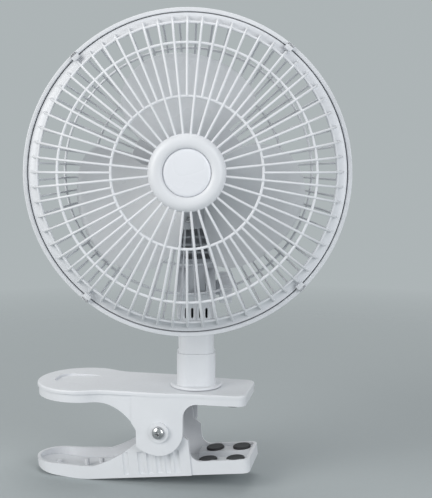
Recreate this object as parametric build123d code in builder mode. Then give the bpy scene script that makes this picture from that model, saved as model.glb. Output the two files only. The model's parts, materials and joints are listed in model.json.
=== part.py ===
from build123d import *
import math
import os

# Clip fan: a caged fan head on a neck that swivels on a sprung clip. Millimetres, +Z up.
#
# The origin is the middle of the four upper pads, on the plane where they grip. X runs along the
# clip, with the jaws towards +X and the handles towards -X. Y runs across it, away from the
# viewer. The head and neck are turned about the neck, so they have planes of their own.

os.makedirs("parts", exist_ok=True)

# ---------------------------------------------------------------- rest pose and clearances
HEAD_TURN = 12.5  # swivel of the head at rest, anticlockwise from above
JAW_TILT = 6.3  # slope of the lower jaw at rest, tip up
BODY_GAP = 0.3  # between pieces that move apart
RUN_GAP = 0.05  # radial gap of a pin that turns
SEAT_GAP = 0.1  # between pieces that are fitted together
WALL = 2.0  # ordinary moulded wall
EDGE_ROUND = 1.0  # ordinary moulded edge

# ---------------------------------------------------------------- clip, upper half
NECK_TO_PADS = 18.1  # neck axis to the middle of the pads
JAW_REACH = 36.5  # neck axis to the tip of the upper jaw
HANDLE_REACH = 110.0  # neck axis to the end of the upper handle
BULB_HALF = 32.0  # half width of the thumb rest
FLANK_HALF = 25.8  # half width at the pivot
SHOULDER_HALF = 22.8  # half width in front of the neck
TIP_HALF = 21.6
TIP_CORNER = 6.0
WAIST_BACK = 52.0  # neck axis back to the waist behind the thumb rest
SHOULDER_BACK = 24.0  # neck axis back to where the flank draws in
SHOULDER_AHEAD = 6.0
COVER_THICK = 2.4
JAW_THICK = 6.8  # cover and skirt together, at the jaw
HANDLE_THICK = 8.0  # the same, at the handle
SKIRT_INSET = 1.0  # step under the cover's lip
SKIRT_WALL = 2.2
CHEEK_PROUD = 0.6
CHEEK_BACK = 37.4  # neck axis back to the step where the cheek starts
PIVOT_BACK = 19.1  # neck axis back to the clip's pivot
PIVOT_DROP = 25.1  # top of the cover down to the pivot
LOBE_RADIUS = 15.2  # round end of each cheek
LOBE_SIDE = 10.0  # straight back of the cheek, below the pivot
THROAT_RADIUS = 9.2  # fillet where the cheek meets the jaw
WEB_BACK = 63.0  # neck axis back to where the web leaves the handle
DISH_BACK = 98.0  # neck axis back to the deep end of the thumb recess
DISH_LONG = 30.0
DISH_WIDE = 23.0
DISH_DEEP = 1.5
DISH_CORNER = 8.0
BRIDGE_LONG = 8.0  # bars across the handle that the cover is screwed to
BRIDGE_UP = 1.6  # underside of the handle up to a bar
COVER_BOSS = 3.4
COVER_SCREW = 1.5
COVER_SCREW_HEAD = 2.8
COVER_SCREW_CONE = 1.3
COVER_SCREW_BITE = 1.0  # how far it enters the cover
HANDLE_SCREWS = (-90.0, -70.0)  # along the clip, from the neck axis
JAW_SCREW = 19.0

# ---------------------------------------------------------------- clip, lower half
LOWER_TIP = 55.5  # pivot to the lower jaw's tip
LOWER_END = 94.6  # pivot to the end of the lower handle
LOWER_BULB_HALF = 17.6
LOWER_WAIST = 49.0
LOWER_FLANK_HALF = 20.0
LOWER_TIP_HALF = 19.0
LOWER_CORNER = 5.0
LOWER_DEPTH = 30.2  # pivot to the flat bottom
LOWER_RIM = 21.6  # pivot down to the rim round the pads
LOWER_RAIL = 23.3  # pivot down to the two rails under the pads
RAIL_HALF = 6.0  # half width of the pit between the rails
PANEL_END = 17.3  # pivot to the step where the ear's panel ends
HANDLE_RIM = 22.0  # pivot down to the rim at the waist
RIM_END_RISE = 4.7  # rim at the handle's end, above the waist
RIM_MIDDLE = 72.0  # pivot back to the middle of the handle's rim
RIM_MIDDLE_RISE = 1.9
RIM_CLIMB = (-31.2, -16.0)  # place on the rim between the waist and the ears
EAR_RADIUS = 13.0
EAR_FOOT = (3.1, 6.8)  # behind the ear's round, below the pivot
EAR_BACK_ANGLE = 19.0
EAR_BROW = 4.0  # straight front of the ear, below the pivot
EAR_NOSE = (4.5, 7.7)  # ahead of the ear's round, below the pivot
LOWER_THROAT_AHEAD = 4.2  # the ear's round to the lower throat's corner
LOWER_THROAT_RADIUS = 6.5
HEEL_START = 50.0  # pivot back to where the bottom starts to rise
HEEL_RISE = 8.0  # rise of the bottom at the end of the handle
STOP_TOP = 14.5  # pivot up to the stop lugs
STOP_AHEAD = 10.0
STOP_LONG = 4.0
STOP_RIB = 3.0
FLUTE_PITCH = 6.05
FLUTE_COUNT = 5
FLUTE_MIDDLE = -3.6
FLUTE_ALONE = -26.0  # one more flute, behind the others
FLUTE_RADIUS = 2.6
FLUTE_DEEP = 1.1
FLUTE_TALL = 14.5
TRAY_BOSSES = (-80.5, -60.5, -49.8)  # small bosses in the handle, from the pivot
TRAY_BOSS = 1.7
TRAY_BOSS_TOP = 22.8

# ---------------------------------------------------------------- pads, pivot and spring
PAD_RADIUS = 6.0
PAD_PITCH = 18.2  # along the jaw
PAD_ROW = 24.4  # across the jaw
PAD_REACH = 1.5  # how far a pad stands out of its jaw
PAD_ROUND = 0.6
PAD_STEM = 2.0
PAD_BARB = 2.8
LOWER_PAD_FIRST = 27.4  # pivot to the first pads
PIVOT_SCREW = 2.5
PIVOT_HEAD = 4.2
PIVOT_HEAD_TALL = 2.7
PIVOT_CROSS = 1.0  # width of the cross recess
PIVOT_NUT_FLATS = 8.0
PIVOT_NUT_TALL = 4.0
PIVOT_BOSS = 6.5
PIVOT_BOSS_PROUD = 0.9
SLEEVE_RADIUS = 5.2
WIRE = 2.0  # thickness of the spring's wire
COIL_RADIUS = 7.0  # to the middle of the wire
COIL_PITCH = 2.6
COIL_TURNS = 6  # whole turns, besides the part turn between the legs
UPPER_LEG_TURN = 65.0  # where each leg leaves the coil
LOWER_LEG_TURN = -50.0
UPPER_LEG = 35.6
LOWER_LEG = 37.5

# ---------------------------------------------------------------- swivel, socket and neck
FLANGE_RADIUS = 17.0
FLANGE_THICK = 1.8
SPIGOT_RADIUS = 7.0
RETAINER_RADIUS = 10.5
RETAINER_THICK = 1.6
RETAINER_LUG = 12.0  # reach of its stop lug, short of the pads' barbs
STOP_WIDE = 2.8
SWIVEL_SCREW = 2.0
SWIVEL_HEAD = 3.8
SWIVEL_HEAD_TALL = 2.2
SOCKET_TALL = 20.8  # above the flange
SOCKET_FLOOR = 3.0
PLUG_WIDE = 21.2  # the part of the neck inside the socket
PLUG_DEEP = 20.2
PLUG_CORNER = 5.4
NECK_WALL = 3.1
NECK_STEP = 1.1  # how far the neck stands out past its plug
FORK_WIDE = 25.4
FORK_SLOT = 12.8
FORK_RADIUS = 14.5
FORK_SKIRT = 19.0  # tilt pivot down to the end of the fork's cheeks
FORK_BEVEL = 0.7
FORK_FRONT_DROP = 2.9  # tilt pivot down to the front lip
SLOT_FLOOR_DROP = 9.6  # tilt pivot down to the floor of the fork's slot
GRILLE_DROP = 15.4  # tilt pivot down to the small slots
GRILLE_TALL = 6.6
GRILLE_WIDE = 1.5
GRILLE_AT = (-6.7, -2.6, 2.6, 6.7)
NECK_SCREW = 1.25
NECK_SCREW_HEAD = 2.3
NECK_SCREW_BOSS = 3.2
NECK_SCREW_AHEAD = 4.0
NECK_SCREW_HEIGHTS = (25.0, 44.0)  # above the pads
GLAND_BORE = 3.2
GLAND_RADIUS = 4.5
GLAND_COLLAR = 5.4
GLAND_PROUD = 5.0
GLAND_HEIGHT = 38.0

# ---------------------------------------------------------------- switch
SWITCH_HEIGHT = 53.0
SWITCH_TRAVEL = 6.0
SWITCH_WIDE = 12.0
SWITCH_TALL = 17.4
SWITCH_DEEP = 5.0
SLIDER_WIDE = 5.4
SLIDER_TALL = 7.0
SLIDER_PROUD = 1.8
SLIDER_PLATE_WIDE = 7.6
SLIDER_PLATE_TALL = 9.2
SLIDER_PLATE_THICK = 1.4

# ---------------------------------------------------------------- head, measured from the rim
HUB_HEIGHT = 142.9  # fan's axis above the cover
PIVOT_TO_HUB = 77.7  # tilt pivot to the fan's axis
RIM_AHEAD = 60.0  # rim of the cage in front of the tilt pivot
NECK_ASIDE = 5.0  # neck axis to the right of the fan's axis
LIP_OUTER = 98.2
LIP_THICK = 2.5
LIP_FRONT = 1.5
LIP_BACK = 9.0
LEDGE_BACK = 7.0
BAND_FRONT = 4.5
BAND_WIDE = 6.6
BAND_THICK = 1.6
BAND_DROP = 4.0  # inner edge of the band back to its outer edge
BAND_COVE = (2.6, 2.5)  # middle of the cove, from its inner edge
BAND_GAP = 0.5  # between the band's skirt and the rear lip
EDGE_HOOP_INSET = 1.4  # hoop inside the band
OUTER_HOOP = 74.1
INNER_HOOP = 42.9
HOOP = 1.6
HUB_RADIUS = 22.1
CROWN = 35.0  # floor of the badge's recess in front of the rim
CROWN_RING = 3.0  # ring in front of that floor
CROWN_RING_RADIUS = 18.0
BADGE_RADIUS = 13.6
BADGE_THICK = 1.8
DOME_DROP = 10.4  # recess floor back to the outer hoop
MIDDLE_RADIUS = 46.0
MIDDLE_DROP = 2.7  # recess floor back to the dome at that radius
HUB_DROP = 0.5  # recess floor back to the hub's edge
SPOKE_PAIRS = 32
SPOKE_WIDE = 1.4
SPOKE_DEEP = 2.4
REAR_SPOKES = 56
REAR_OUTER_HOOP = 79.0
REAR_INNER_HOOP = 61.0
REAR_PLATE = 38.0
REAR_DEPTH = 42.2
REAR_BEND = 76.4  # radius where the side turns into the back
REAR_BEND_RADIUS = 9.0
SPOKE_BITE = 1.0  # how far the rear spokes enter the ledge
PLATE_THICK = 2.3
PLATE_HOLE = 10.0
TAB_ANGLES = (45.4, 128.8, 225.7, 309.2)  # clockwise from the right
TAB_WIDE = 4.8
TAB_TALL = 4.2
TAB_REACH = 4.8
TAB_THICK = 1.0

# ---------------------------------------------------------------- motor and its housing
HOUSING_RADIUS = 36.0
HOUSING_LONG = 52.5
HOUSING_ROUND = 6.0
SPLIT_BACK = 23.5  # front of the housing to the joint of its two shells
SHAFT_HOLE = 9.0
LUG_WIDE = 12.2
LUG_RADIUS = 8.5
BRACKET_WIDE = 23.0
BRACKET_AHEAD = 13.0  # tilt pivot to the bracket's front and back
BRACKET_BEHIND = 8.0
BRACKET_GAP = 1.7  # between the fork's round top and the bracket
BRACKET_FLOOR = 20.0
LOUVRES = 3
LOUVRE_PITCH = 5.0
LOUVRE_THICK = 1.2
SHELL_SCREW = 1.25
SHELL_SCREW_HEAD = 2.2
SHELL_BOSS = 3.2
SHELL_BOSS_CIRCLE = 31.6
SHELL_SCREW_SEAT = 6.0  # joint back to the screws' heads
SHELL_SCREW_LONG = 14.0
VENTS = 9
VENT_WIDE = 2.4
VENT_PITCH = 7.5
REAR_VENTS = 7
REAR_VENT_PITCH = 6.0
REAR_VENT_REACH = 24.0
STATOR_RADIUS = 28.0
STATOR_AHEAD = 11.5  # front of the housing to the stator
STATOR_LONG = 14.0
STATOR_RING = 6.5
POLE_WIDE = 9.0
POLES = 4
COIL_BUILD = 2.8  # thickness of each winding
COIL_LONG = 6.2
COIL_CLEAR = 1.4  # rotor's air gap to the windings
ROTOR_RADIUS = 12.0
ROTOR_LONG = 16.0
AIR_GAP = 0.4
BOLT_CIRCLE = 24.6
MOTOR_BOLT = 1.5
MOTOR_BOLT_HEAD = 2.8
FRONT_BRACKET_AHEAD = 5.5
REAR_BRACKET_BEHIND = 35.5
MOTOR_PLATE = 1.6
BEARING_RADIUS = 6.0
BEARING_LONG = 5.0
CUP_WALL = 1.9
SHAFT_RADIUS = 2.5
SHAFT_CHAMFER = 0.5
SHAFT_FRONT = 16.0  # in front of the rim
WASHER_RADIUS = 4.5
WASHER_THICK = 0.5

# ---------------------------------------------------------------- blade
BLADE_COUNT = 3
BLADE_RADIUS = 71.9
BLADE_HUB = 21.4
BLADE_THICK = 1.8
BLADE_FRONT = 11.0
BLADE_BACK = 25.0
BLADE_TWIST = (-50, -20, 10, 45, 80)  # angles of the blade's sections, clockwise
TRAILING_EDGE = ((-25.0, 35.6), (-17.5, 20.0), (-8.0, 8.9), (5.0, 1.8))  # angle, inset from the tip
LEADING_EDGE = ((50.0, 2.9), (63.0, 5.4), (71.0, 9.0), (75.4, 15.0))
LEADING_ROOT = ((73.4, 35.6), (67.5, 44.0))
ROOT_ANGLE = -23.5
TIP_ANGLE = 20.0
TIP_ARC = 8.0  # part of the tip that follows its circle
HUB_FRONT = 10.0
HUB_BACK = 24.0
SPINNER_RADIUS = 9.0
SPINNER_LONG = 8.0

# ---------------------------------------------------------------- tilt knob
KNOB_RADIUS = 10.3
KNOB_THICK = 8.3
KNOB_OUT = 15.5  # neck axis to the knob's inner face
KNOB_LOBES = 6
KNOB_SCALLOP = 3.4
KNOB_BITE = 1.3
KNOB_COLLAR = 5.0
KNOB_ROUND = 1.5
TILT_BOLT = 2.5
TILT_NUT_FLATS = 8.0
TILT_NUT_TALL = 4.0

# ---------------------------------------------------------------- places worked out from these
NECK_X = -NECK_TO_PADS
COVER_TOP = PAD_REACH + JAW_THICK
COVER_BOTTOM = COVER_TOP - COVER_THICK
JAW_UNDER = PAD_REACH
HANDLE_UNDER = COVER_TOP - HANDLE_THICK
HANDLE_X = NECK_X - HANDLE_REACH
TIP_X = NECK_X + JAW_REACH
PIVOT_X = NECK_X - PIVOT_BACK
PIVOT_Z = COVER_TOP - PIVOT_DROP
CHEEK_FACE = FLANK_HALF - SKIRT_INSET + CHEEK_PROUD
BOSS_FACE = CHEEK_FACE + PIVOT_BOSS_PROUD
FLANGE_TOP = COVER_TOP + BODY_GAP + FLANGE_THICK
SOCKET_TOP = FLANGE_TOP + SOCKET_TALL
PLUG_BOTTOM = FLANGE_TOP + SOCKET_FLOOR + SEAT_GAP
NECK_WIDE = PLUG_WIDE + 2 * NECK_STEP
NECK_DEEP = PLUG_DEEP + 2 * NECK_STEP
SOCKET_WALL = SEAT_GAP + WALL
HUB_Z = COVER_TOP + HUB_HEIGHT
TILT_Z = HUB_Z - PIVOT_TO_HUB
NECK_INSIDE_TOP = TILT_Z - SLOT_FLOOR_DROP - WALL
HOUSING_FRONT = -REAR_DEPTH - PLATE_THICK
HOUSING_SPLIT = HOUSING_FRONT - SPLIT_BACK
HOUSING_BACK = HOUSING_FRONT - HOUSING_LONG
STATOR_FRONT = HOUSING_FRONT - STATOR_AHEAD
STATOR_BACK = STATOR_FRONT - STATOR_LONG
FRONT_PLATE = HOUSING_FRONT - FRONT_BRACKET_AHEAD
REAR_PLATE_FACE = HOUSING_FRONT - REAR_BRACKET_BEHIND

turn = math.radians(HEAD_TURN)
right = Vector(math.cos(turn), math.sin(turn), 0)
forward = Vector(math.sin(turn), -math.cos(turn), 0)
up = Vector(0, 0, 1)
tilt_pivot = Vector(NECK_X, 0, TILT_Z)
head_origin = Vector(NECK_X, 0, HUB_Z) + forward * RIM_AHEAD - right * NECK_ASIDE
fan_axis = Axis(head_origin, forward)

face = Plane(origin=head_origin, x_dir=right, z_dir=forward)  # seen from the front
section = Plane(origin=head_origin, x_dir=right, z_dir=(0, 0, -1))  # x is radius, y is forward
# x is backward and y is up. It is also the seam between the neck's shells.
hinge_side = Plane(origin=tilt_pivot, x_dir=-forward, z_dir=right)
neck_front = Plane(origin=tilt_pivot, x_dir=right, z_dir=forward)

tilt = math.radians(JAW_TILT)
jaw_x = Vector(math.cos(tilt), 0, math.sin(tilt))
jaw_up = Vector(-math.sin(tilt), 0, math.cos(tilt))
pivot = Vector(PIVOT_X, 0, PIVOT_Z)
jaw_side = Plane(origin=pivot, x_dir=jaw_x, z_dir=(0, -1, 0))


def level(height):
    """Horizontal plane along the clip."""
    return Plane.XY.offset(height)


def post(height):
    """Horizontal plane on the neck's axis, turned with the head. x is right and y is backward."""
    return Plane(origin=(NECK_X, 0, height), x_dir=right, z_dir=up)


def jaw_level(height):
    """Plane along the lower jaw, this far above the pivot."""
    return Plane(origin=pivot + jaw_up * height, x_dir=jaw_x, z_dir=jaw_up)


def across(y, x=0, z=0):
    """Upright plane along the clip at this Y, facing the viewer."""
    return Plane(origin=(x, y, z), x_dir=(1, 0, 0), z_dir=(0, -1, 0))


def radial(angle):
    """Plane through the fan's axis at this clockwise angle: x is radius, y is forward."""
    along = right * math.cos(math.radians(angle)) - up * math.sin(math.radians(angle))
    return Plane(origin=head_origin, x_dir=along, z_dir=along.cross(forward))


def slab(inner, outer, low, high, mode=Mode.ADD):
    """Rectangle between two places along x and two along y."""
    with Locations(((inner + outer) / 2, (low + high) / 2)):
        Rectangle(outer - inner, high - low, mode=mode)


def swing(start, end):
    """Two arcs that carry an edge between two half widths, level at both ends."""
    middle = ((start[0] + end[0]) / 2, (start[1] + end[1]) / 2)
    first = TangentArc(start, middle, tangent=(1, 0))
    TangentArc(middle, end, tangent=first % 1)


def clip_plan(end, bulb, waist, flank, shoulder, tip, corner, inset):
    """Plan of half a clip. The places are (x, half width), from the handle's end to the tip."""
    slant = bulb * math.sqrt(0.5)
    with BuildSketch() as plan:
        with BuildLine():
            ThreePointArc((end, 0), (end + bulb - slant, slant), (end + bulb, bulb))
            swing((end + bulb, bulb), waist)
            Line(waist, flank)
            swing(flank, shoulder)
            Line(shoulder, tip)
            mirror(about=Plane.XZ)
            Line(tip, (tip[0], -tip[1]))
        make_face()
        if inset:
            offset(amount=-inset)
        fillet(vertices().group_by(Axis.X)[-1], radius=corner - inset)
    return plan.sketch


def upper_plan(inset=0.0):
    return clip_plan(
        HANDLE_X,
        BULB_HALF,
        (NECK_X - WAIST_BACK, FLANK_HALF),
        (NECK_X - SHOULDER_BACK, FLANK_HALF),
        (NECK_X + SHOULDER_AHEAD, SHOULDER_HALF),
        (TIP_X, TIP_HALF),
        TIP_CORNER,
        inset,
    )


def lower_plan(inset=0.0):
    return clip_plan(
        -LOWER_END,
        LOWER_BULB_HALF,
        (-LOWER_WAIST, LOWER_FLANK_HALF),
        (EAR_RADIUS, LOWER_FLANK_HALF),
        (LOWER_PAD_FIRST, LOWER_TIP_HALF),
        (LOWER_TIP, LOWER_TIP_HALF),
        LOWER_CORNER,
        inset,
    )


# ================================================================ clip, upper half
bridge_low = HANDLE_UNDER + BRIDGE_UP
cover_screws_at = [(NECK_X + x, bridge_low) for x in HANDLE_SCREWS]
cover_screws_at.append((NECK_X + JAW_SCREW, JAW_UNDER))
pads_at = GridLocations(PAD_PITCH, PAD_ROW, 2, 2)

with BuildPart() as thumb_recess:
    with BuildSketch(level(COVER_TOP)):
        with Locations((NECK_X - DISH_BACK + DISH_LONG / 2, 0)):
            RectangleRounded(DISH_LONG, DISH_WIDE, DISH_CORNER)
    extrude(amount=-DISH_DEEP)
    # its floor climbs to the top of the cover
    with BuildSketch(across(0, NECK_X - DISH_BACK, COVER_TOP)):
        with BuildLine():
            Polyline((0, 0), (0, -DISH_DEEP), (DISH_LONG, 0), close=True)
        make_face()
    extrude(amount=DISH_WIDE / 2, both=True, mode=Mode.INTERSECT)

with BuildPart() as clip_top_cover:
    with BuildSketch(level(COVER_BOTTOM)):
        add(upper_plan())
    extrude(amount=COVER_THICK)
    fillet(faces().sort_by(Axis.Z)[-1].edges(), radius=EDGE_ROUND)
    add(thumb_recess.part, mode=Mode.SUBTRACT)
    for x, low in cover_screws_at:
        with BuildSketch(level(low + WALL)):
            with Locations((x, 0)):
                Circle(COVER_BOSS)
        extrude(amount=COVER_BOTTOM - low - WALL)
        with BuildSketch(level(low + WALL)):
            with Locations((x, 0)):
                Circle(COVER_SCREW + SEAT_GAP)
        extrude(amount=COVER_BOTTOM + COVER_SCREW_BITE - low - WALL, mode=Mode.SUBTRACT)
    with BuildSketch(level(COVER_BOTTOM)):
        with Locations((NECK_X, 0)):
            Circle(SPIGOT_RADIUS + BODY_GAP)
    extrude(amount=COVER_THICK, mode=Mode.SUBTRACT)
    # block that the swivel's stop lug meets
    with BuildSketch(level(COVER_BOTTOM)):
        with Locations((NECK_X - (RETAINER_RADIUS + BODY_GAP + RETAINER_LUG) / 2 - BODY_GAP, 0)):
            Rectangle(RETAINER_LUG - RETAINER_RADIUS, STOP_WIDE)
    extrude(amount=-RETAINER_THICK - BODY_GAP)

lobe_left = (PIVOT_X - LOBE_RADIUS, PIVOT_Z)
lobe_right = (PIVOT_X + LOBE_RADIUS, PIVOT_Z)
lobe_low = (PIVOT_X, PIVOT_Z - LOBE_RADIUS)
throat = (lobe_right[0] + THROAT_RADIUS, JAW_UNDER)

with BuildSketch() as frame_view:
    with BuildLine():
        Line((HANDLE_X, HANDLE_UNDER), (NECK_X - WEB_BACK, HANDLE_UNDER))
        TangentArc((NECK_X - WEB_BACK, HANDLE_UNDER), lobe_left, tangent=(1, 0))
        Line(lobe_left, (lobe_left[0], PIVOT_Z - LOBE_SIDE))
        TangentArc(lobe_low, (lobe_left[0], PIVOT_Z - LOBE_SIDE), tangent=(-1, 0))
        TangentArc(lobe_low, lobe_right, tangent=(1, 0))
        Line(lobe_right, (lobe_right[0], JAW_UNDER - THROAT_RADIUS))
        TangentArc((lobe_right[0], JAW_UNDER - THROAT_RADIUS), throat, tangent=(0, 1))
        Polyline(
            throat,
            (TIP_X, JAW_UNDER),
            (TIP_X, COVER_BOTTOM),
            (HANDLE_X, COVER_BOTTOM),
            (HANDLE_X, HANDLE_UNDER),
        )
    make_face()

# thicker sides, from a step behind the pivot to the tip
with BuildPart() as cheeks:
    with BuildSketch(level(lobe_low[1])):
        add(upper_plan(SKIRT_INSET - CHEEK_PROUD))
        add(upper_plan(SKIRT_INSET + SKIRT_WALL), mode=Mode.SUBTRACT)
        slab(NECK_X - CHEEK_BACK, TIP_X, -BULB_HALF, BULB_HALF, mode=Mode.INTERSECT)
    extrude(amount=COVER_BOTTOM - lobe_low[1])
    with BuildSketch(across(0)):
        add(frame_view.sketch)
    extrude(amount=BULB_HALF, both=True, mode=Mode.INTERSECT)

with BuildPart() as upper_jaw_frame:
    with BuildSketch(level(lobe_low[1])):
        add(upper_plan(SKIRT_INSET))
        add(upper_plan(SKIRT_INSET + SKIRT_WALL), mode=Mode.SUBTRACT)
    extrude(amount=COVER_BOTTOM - lobe_low[1])
    with BuildSketch(across(0)):
        add(frame_view.sketch)
    extrude(amount=BULB_HALF, both=True, mode=Mode.INTERSECT)
    add(cheeks.part)
    # floor of the jaw
    with BuildSketch(level(JAW_UNDER)):
        add(upper_plan(SKIRT_INSET + SKIRT_WALL / 2))
        slab(throat[0], TIP_X, -BULB_HALF, BULB_HALF, mode=Mode.INTERSECT)
    extrude(amount=WALL)
    # bars across the handle
    with BuildSketch(level(bridge_low)):
        for x, _ in cover_screws_at[:-1]:
            slab(x - BRIDGE_LONG / 2, x + BRIDGE_LONG / 2, -BULB_HALF, BULB_HALF)
        add(upper_plan(SKIRT_INSET + SKIRT_WALL / 2), mode=Mode.INTERSECT)
    extrude(amount=WALL)
    # rib that the lower jaw closes against
    with BuildSketch(jaw_level(STOP_TOP + BODY_GAP)):
        with Locations((STOP_AHEAD, 0)):
            Rectangle(STOP_LONG, 2 * (FLANK_HALF - SKIRT_INSET) - SKIRT_WALL)
    extrude(amount=STOP_RIB)
    # bosses that reach in to the lower jaw's ears and stand out under the screw
    for side in (-1, 1):
        inner = side * (LOWER_FLANK_HALF + BODY_GAP)
        with BuildSketch(across(inner, PIVOT_X, PIVOT_Z)):
            Circle(PIVOT_BOSS)
        extrude(amount=inner - side * BOSS_FACE)
    with BuildSketch(across(0, PIVOT_X, PIVOT_Z)):
        Circle(PIVOT_SCREW + SEAT_GAP)
    extrude(amount=BULB_HALF, both=True, mode=Mode.SUBTRACT)
    for x, low in cover_screws_at:
        with Locations(Plane(origin=(x, 0, low), z_dir=(0, 0, -1))):
            CounterSinkHole(
                COVER_SCREW + SEAT_GAP,
                COVER_SCREW_HEAD + SEAT_GAP,
                depth=WALL,
            )
    with BuildSketch(level(JAW_UNDER)):
        with pads_at:
            Circle(PAD_STEM + SEAT_GAP)
    extrude(amount=WALL, mode=Mode.SUBTRACT)

with BuildPart() as upper_pads:
    with BuildSketch(level(0)):
        with pads_at:
            Circle(PAD_RADIUS)
    extrude(amount=PAD_REACH)
    fillet(edges().group_by(Axis.Z)[0], radius=PAD_ROUND)
    with BuildSketch(level(PAD_REACH)):
        with pads_at:
            Circle(PAD_STEM)
    extrude(amount=WALL)
    with BuildSketch(level(PAD_REACH + WALL)):
        with pads_at:
            Circle(PAD_BARB)
    extrude(amount=EDGE_ROUND)

with BuildPart() as cover_screws:
    for x, low in cover_screws_at:
        with BuildSketch(level(low)):
            with Locations((x, 0)):
                Circle(COVER_SCREW)
        extrude(amount=COVER_BOTTOM + COVER_SCREW_BITE - SEAT_GAP - low)
        with Locations((x, 0, low + COVER_SCREW_CONE / 2)):
            Cone(COVER_SCREW_HEAD, COVER_SCREW, COVER_SCREW_CONE)

# ================================================================ pivot and spring
with BuildPart() as pivot_screw:
    with BuildSketch(across(-BOSS_FACE, PIVOT_X, PIVOT_Z)):
        Circle(PIVOT_HEAD)
    extrude(amount=PIVOT_HEAD_TALL)
    fillet(faces().sort_by(Axis.Y)[0].edges(), radius=PIVOT_HEAD_TALL / 2)
    with BuildSketch(across(-BOSS_FACE, PIVOT_X, PIVOT_Z)):
        Circle(PIVOT_SCREW)
    extrude(amount=-2 * BOSS_FACE - PIVOT_NUT_TALL - EDGE_ROUND)
    with BuildSketch(across(-BOSS_FACE - PIVOT_HEAD_TALL, PIVOT_X, PIVOT_Z)):
        Rectangle(PIVOT_HEAD, PIVOT_CROSS)
        Rectangle(PIVOT_CROSS, PIVOT_HEAD)
    extrude(amount=-PIVOT_HEAD_TALL / 2, mode=Mode.SUBTRACT)

with BuildPart() as pivot_nut:
    with BuildSketch(across(BOSS_FACE, PIVOT_X, PIVOT_Z)):
        RegularPolygon(PIVOT_NUT_FLATS / 2, 6, major_radius=False)
        Circle(PIVOT_SCREW + RUN_GAP, mode=Mode.SUBTRACT)
    extrude(amount=-PIVOT_NUT_TALL)

sleeve_half = LOWER_FLANK_HALF - WALL - BODY_GAP
with BuildPart() as pivot_sleeve:
    with BuildSketch(across(0, PIVOT_X, PIVOT_Z)):
        Circle(SLEEVE_RADIUS)
        Circle(PIVOT_SCREW + RUN_GAP, mode=Mode.SUBTRACT)
    extrude(amount=sleeve_half, both=True)

coil_sweep = UPPER_LEG_TURN - LOWER_LEG_TURN + 360 * COIL_TURNS
coil_long = COIL_PITCH * coil_sweep / 360


def coil_point(done):
    """Middle of the wire after this many degrees of winding."""
    angle = math.radians(UPPER_LEG_TURN - done)
    y = COIL_PITCH * done / 360 - coil_long / 2
    return pivot + Vector(COIL_RADIUS * math.cos(angle), y, COIL_RADIUS * math.sin(angle))


def coil_heading(done):
    angle = math.radians(UPPER_LEG_TURN - done)
    rise = COIL_PITCH / (2 * math.pi)
    heading = Vector(COIL_RADIUS * math.sin(angle), rise, -COIL_RADIUS * math.cos(angle))
    return heading.normalized()


def biarc(start, start_heading, end, end_heading):
    """Two arcs that join both points along both headings."""
    chord = end - start
    total = start_heading + end_heading
    square = total.dot(total) - 4
    reach = chord.dot(total)
    arm = (reach - math.sqrt(reach**2 - square * chord.dot(chord))) / square
    first = start + start_heading * arm
    last = end - end_heading * arm
    TangentArc(start, (first + last) / 2, tangent=start_heading)
    TangentArc((first + last) / 2, end, tangent=last - first)


quarters = math.ceil(coil_sweep / 90)
with BuildPart() as torsion_spring:
    with BuildLine() as wire_path:
        leg_start = coil_point(0) - coil_heading(0) * UPPER_LEG
        Line(leg_start, coil_point(0))
        for step in range(quarters):
            here = coil_sweep * step / quarters
            there = coil_sweep * (step + 1) / quarters
            biarc(coil_point(here), coil_heading(here), coil_point(there), coil_heading(there))
        Line(coil_point(coil_sweep), coil_point(coil_sweep) + coil_heading(coil_sweep) * LOWER_LEG)
    with BuildSketch(Plane(origin=leg_start, z_dir=coil_heading(0))):
        Circle(WIRE / 2)
    sweep()

wire = wire_path.wire()
samples = 800  # along the wire
wire_points = [wire.position_at(i / samples) for i in range(samples + 1)]
half_turn = math.ceil(math.pi * COIL_RADIUS * samples / wire.length)
wire_gap = min(
    (wire_points[i] - wire_points[j]).length - WIRE
    for i in range(samples + 1)
    for j in range(i + half_turn, samples + 1)
)
wire_volume = math.pi * WIRE**2 / 4 * wire.length
print(f"spring: least gap to itself {wire_gap:.2f} mm")
print(f"spring: volume {torsion_spring.part.volume:.1f}, section by length {wire_volume:.1f} mm3")

# ================================================================ clip, lower half
lower_pads_at = Locations(
    *[
        (LOWER_PAD_FIRST + x, y)
        for x in (0, PAD_PITCH)
        for y in (-PAD_ROW / 2, PAD_ROW / 2)
    ]
)


def on_ear(angle):
    """Place on the round of the lower jaw's ears, seen from the side."""
    return (EAR_RADIUS * math.cos(math.radians(angle)), EAR_RADIUS * math.sin(math.radians(angle)))


def above_keel(lift, top):
    """Side view of everything between the raised bottom of the lower jaw and this height."""
    low = -LOWER_DEPTH + lift
    heel = (-LOWER_END, low + HEEL_RISE)
    with BuildSketch() as view:
        with BuildLine():
            TangentArc((-HEEL_START, low), heel, tangent=(-1, 0))
            Polyline(heel, (-LOWER_END, top), (LOWER_TIP, top), (LOWER_TIP, low), (-HEEL_START, low))
        make_face()
        fillet(vertices().sort_by_distance((LOWER_TIP, low))[0], radius=WALL)
    return view.sketch


throat_corner = (EAR_RADIUS + LOWER_THROAT_AHEAD, -LOWER_RIM)
with BuildPart() as tray_inside:
    with BuildSketch(jaw_level(-LOWER_DEPTH)):
        add(lower_plan(WALL))
    extrude(amount=LOWER_DEPTH + STOP_TOP)
    with BuildSketch(jaw_side):
        add(above_keel(WALL, STOP_TOP))
    extrude(amount=BULB_HALF, both=True, mode=Mode.INTERSECT)

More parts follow.
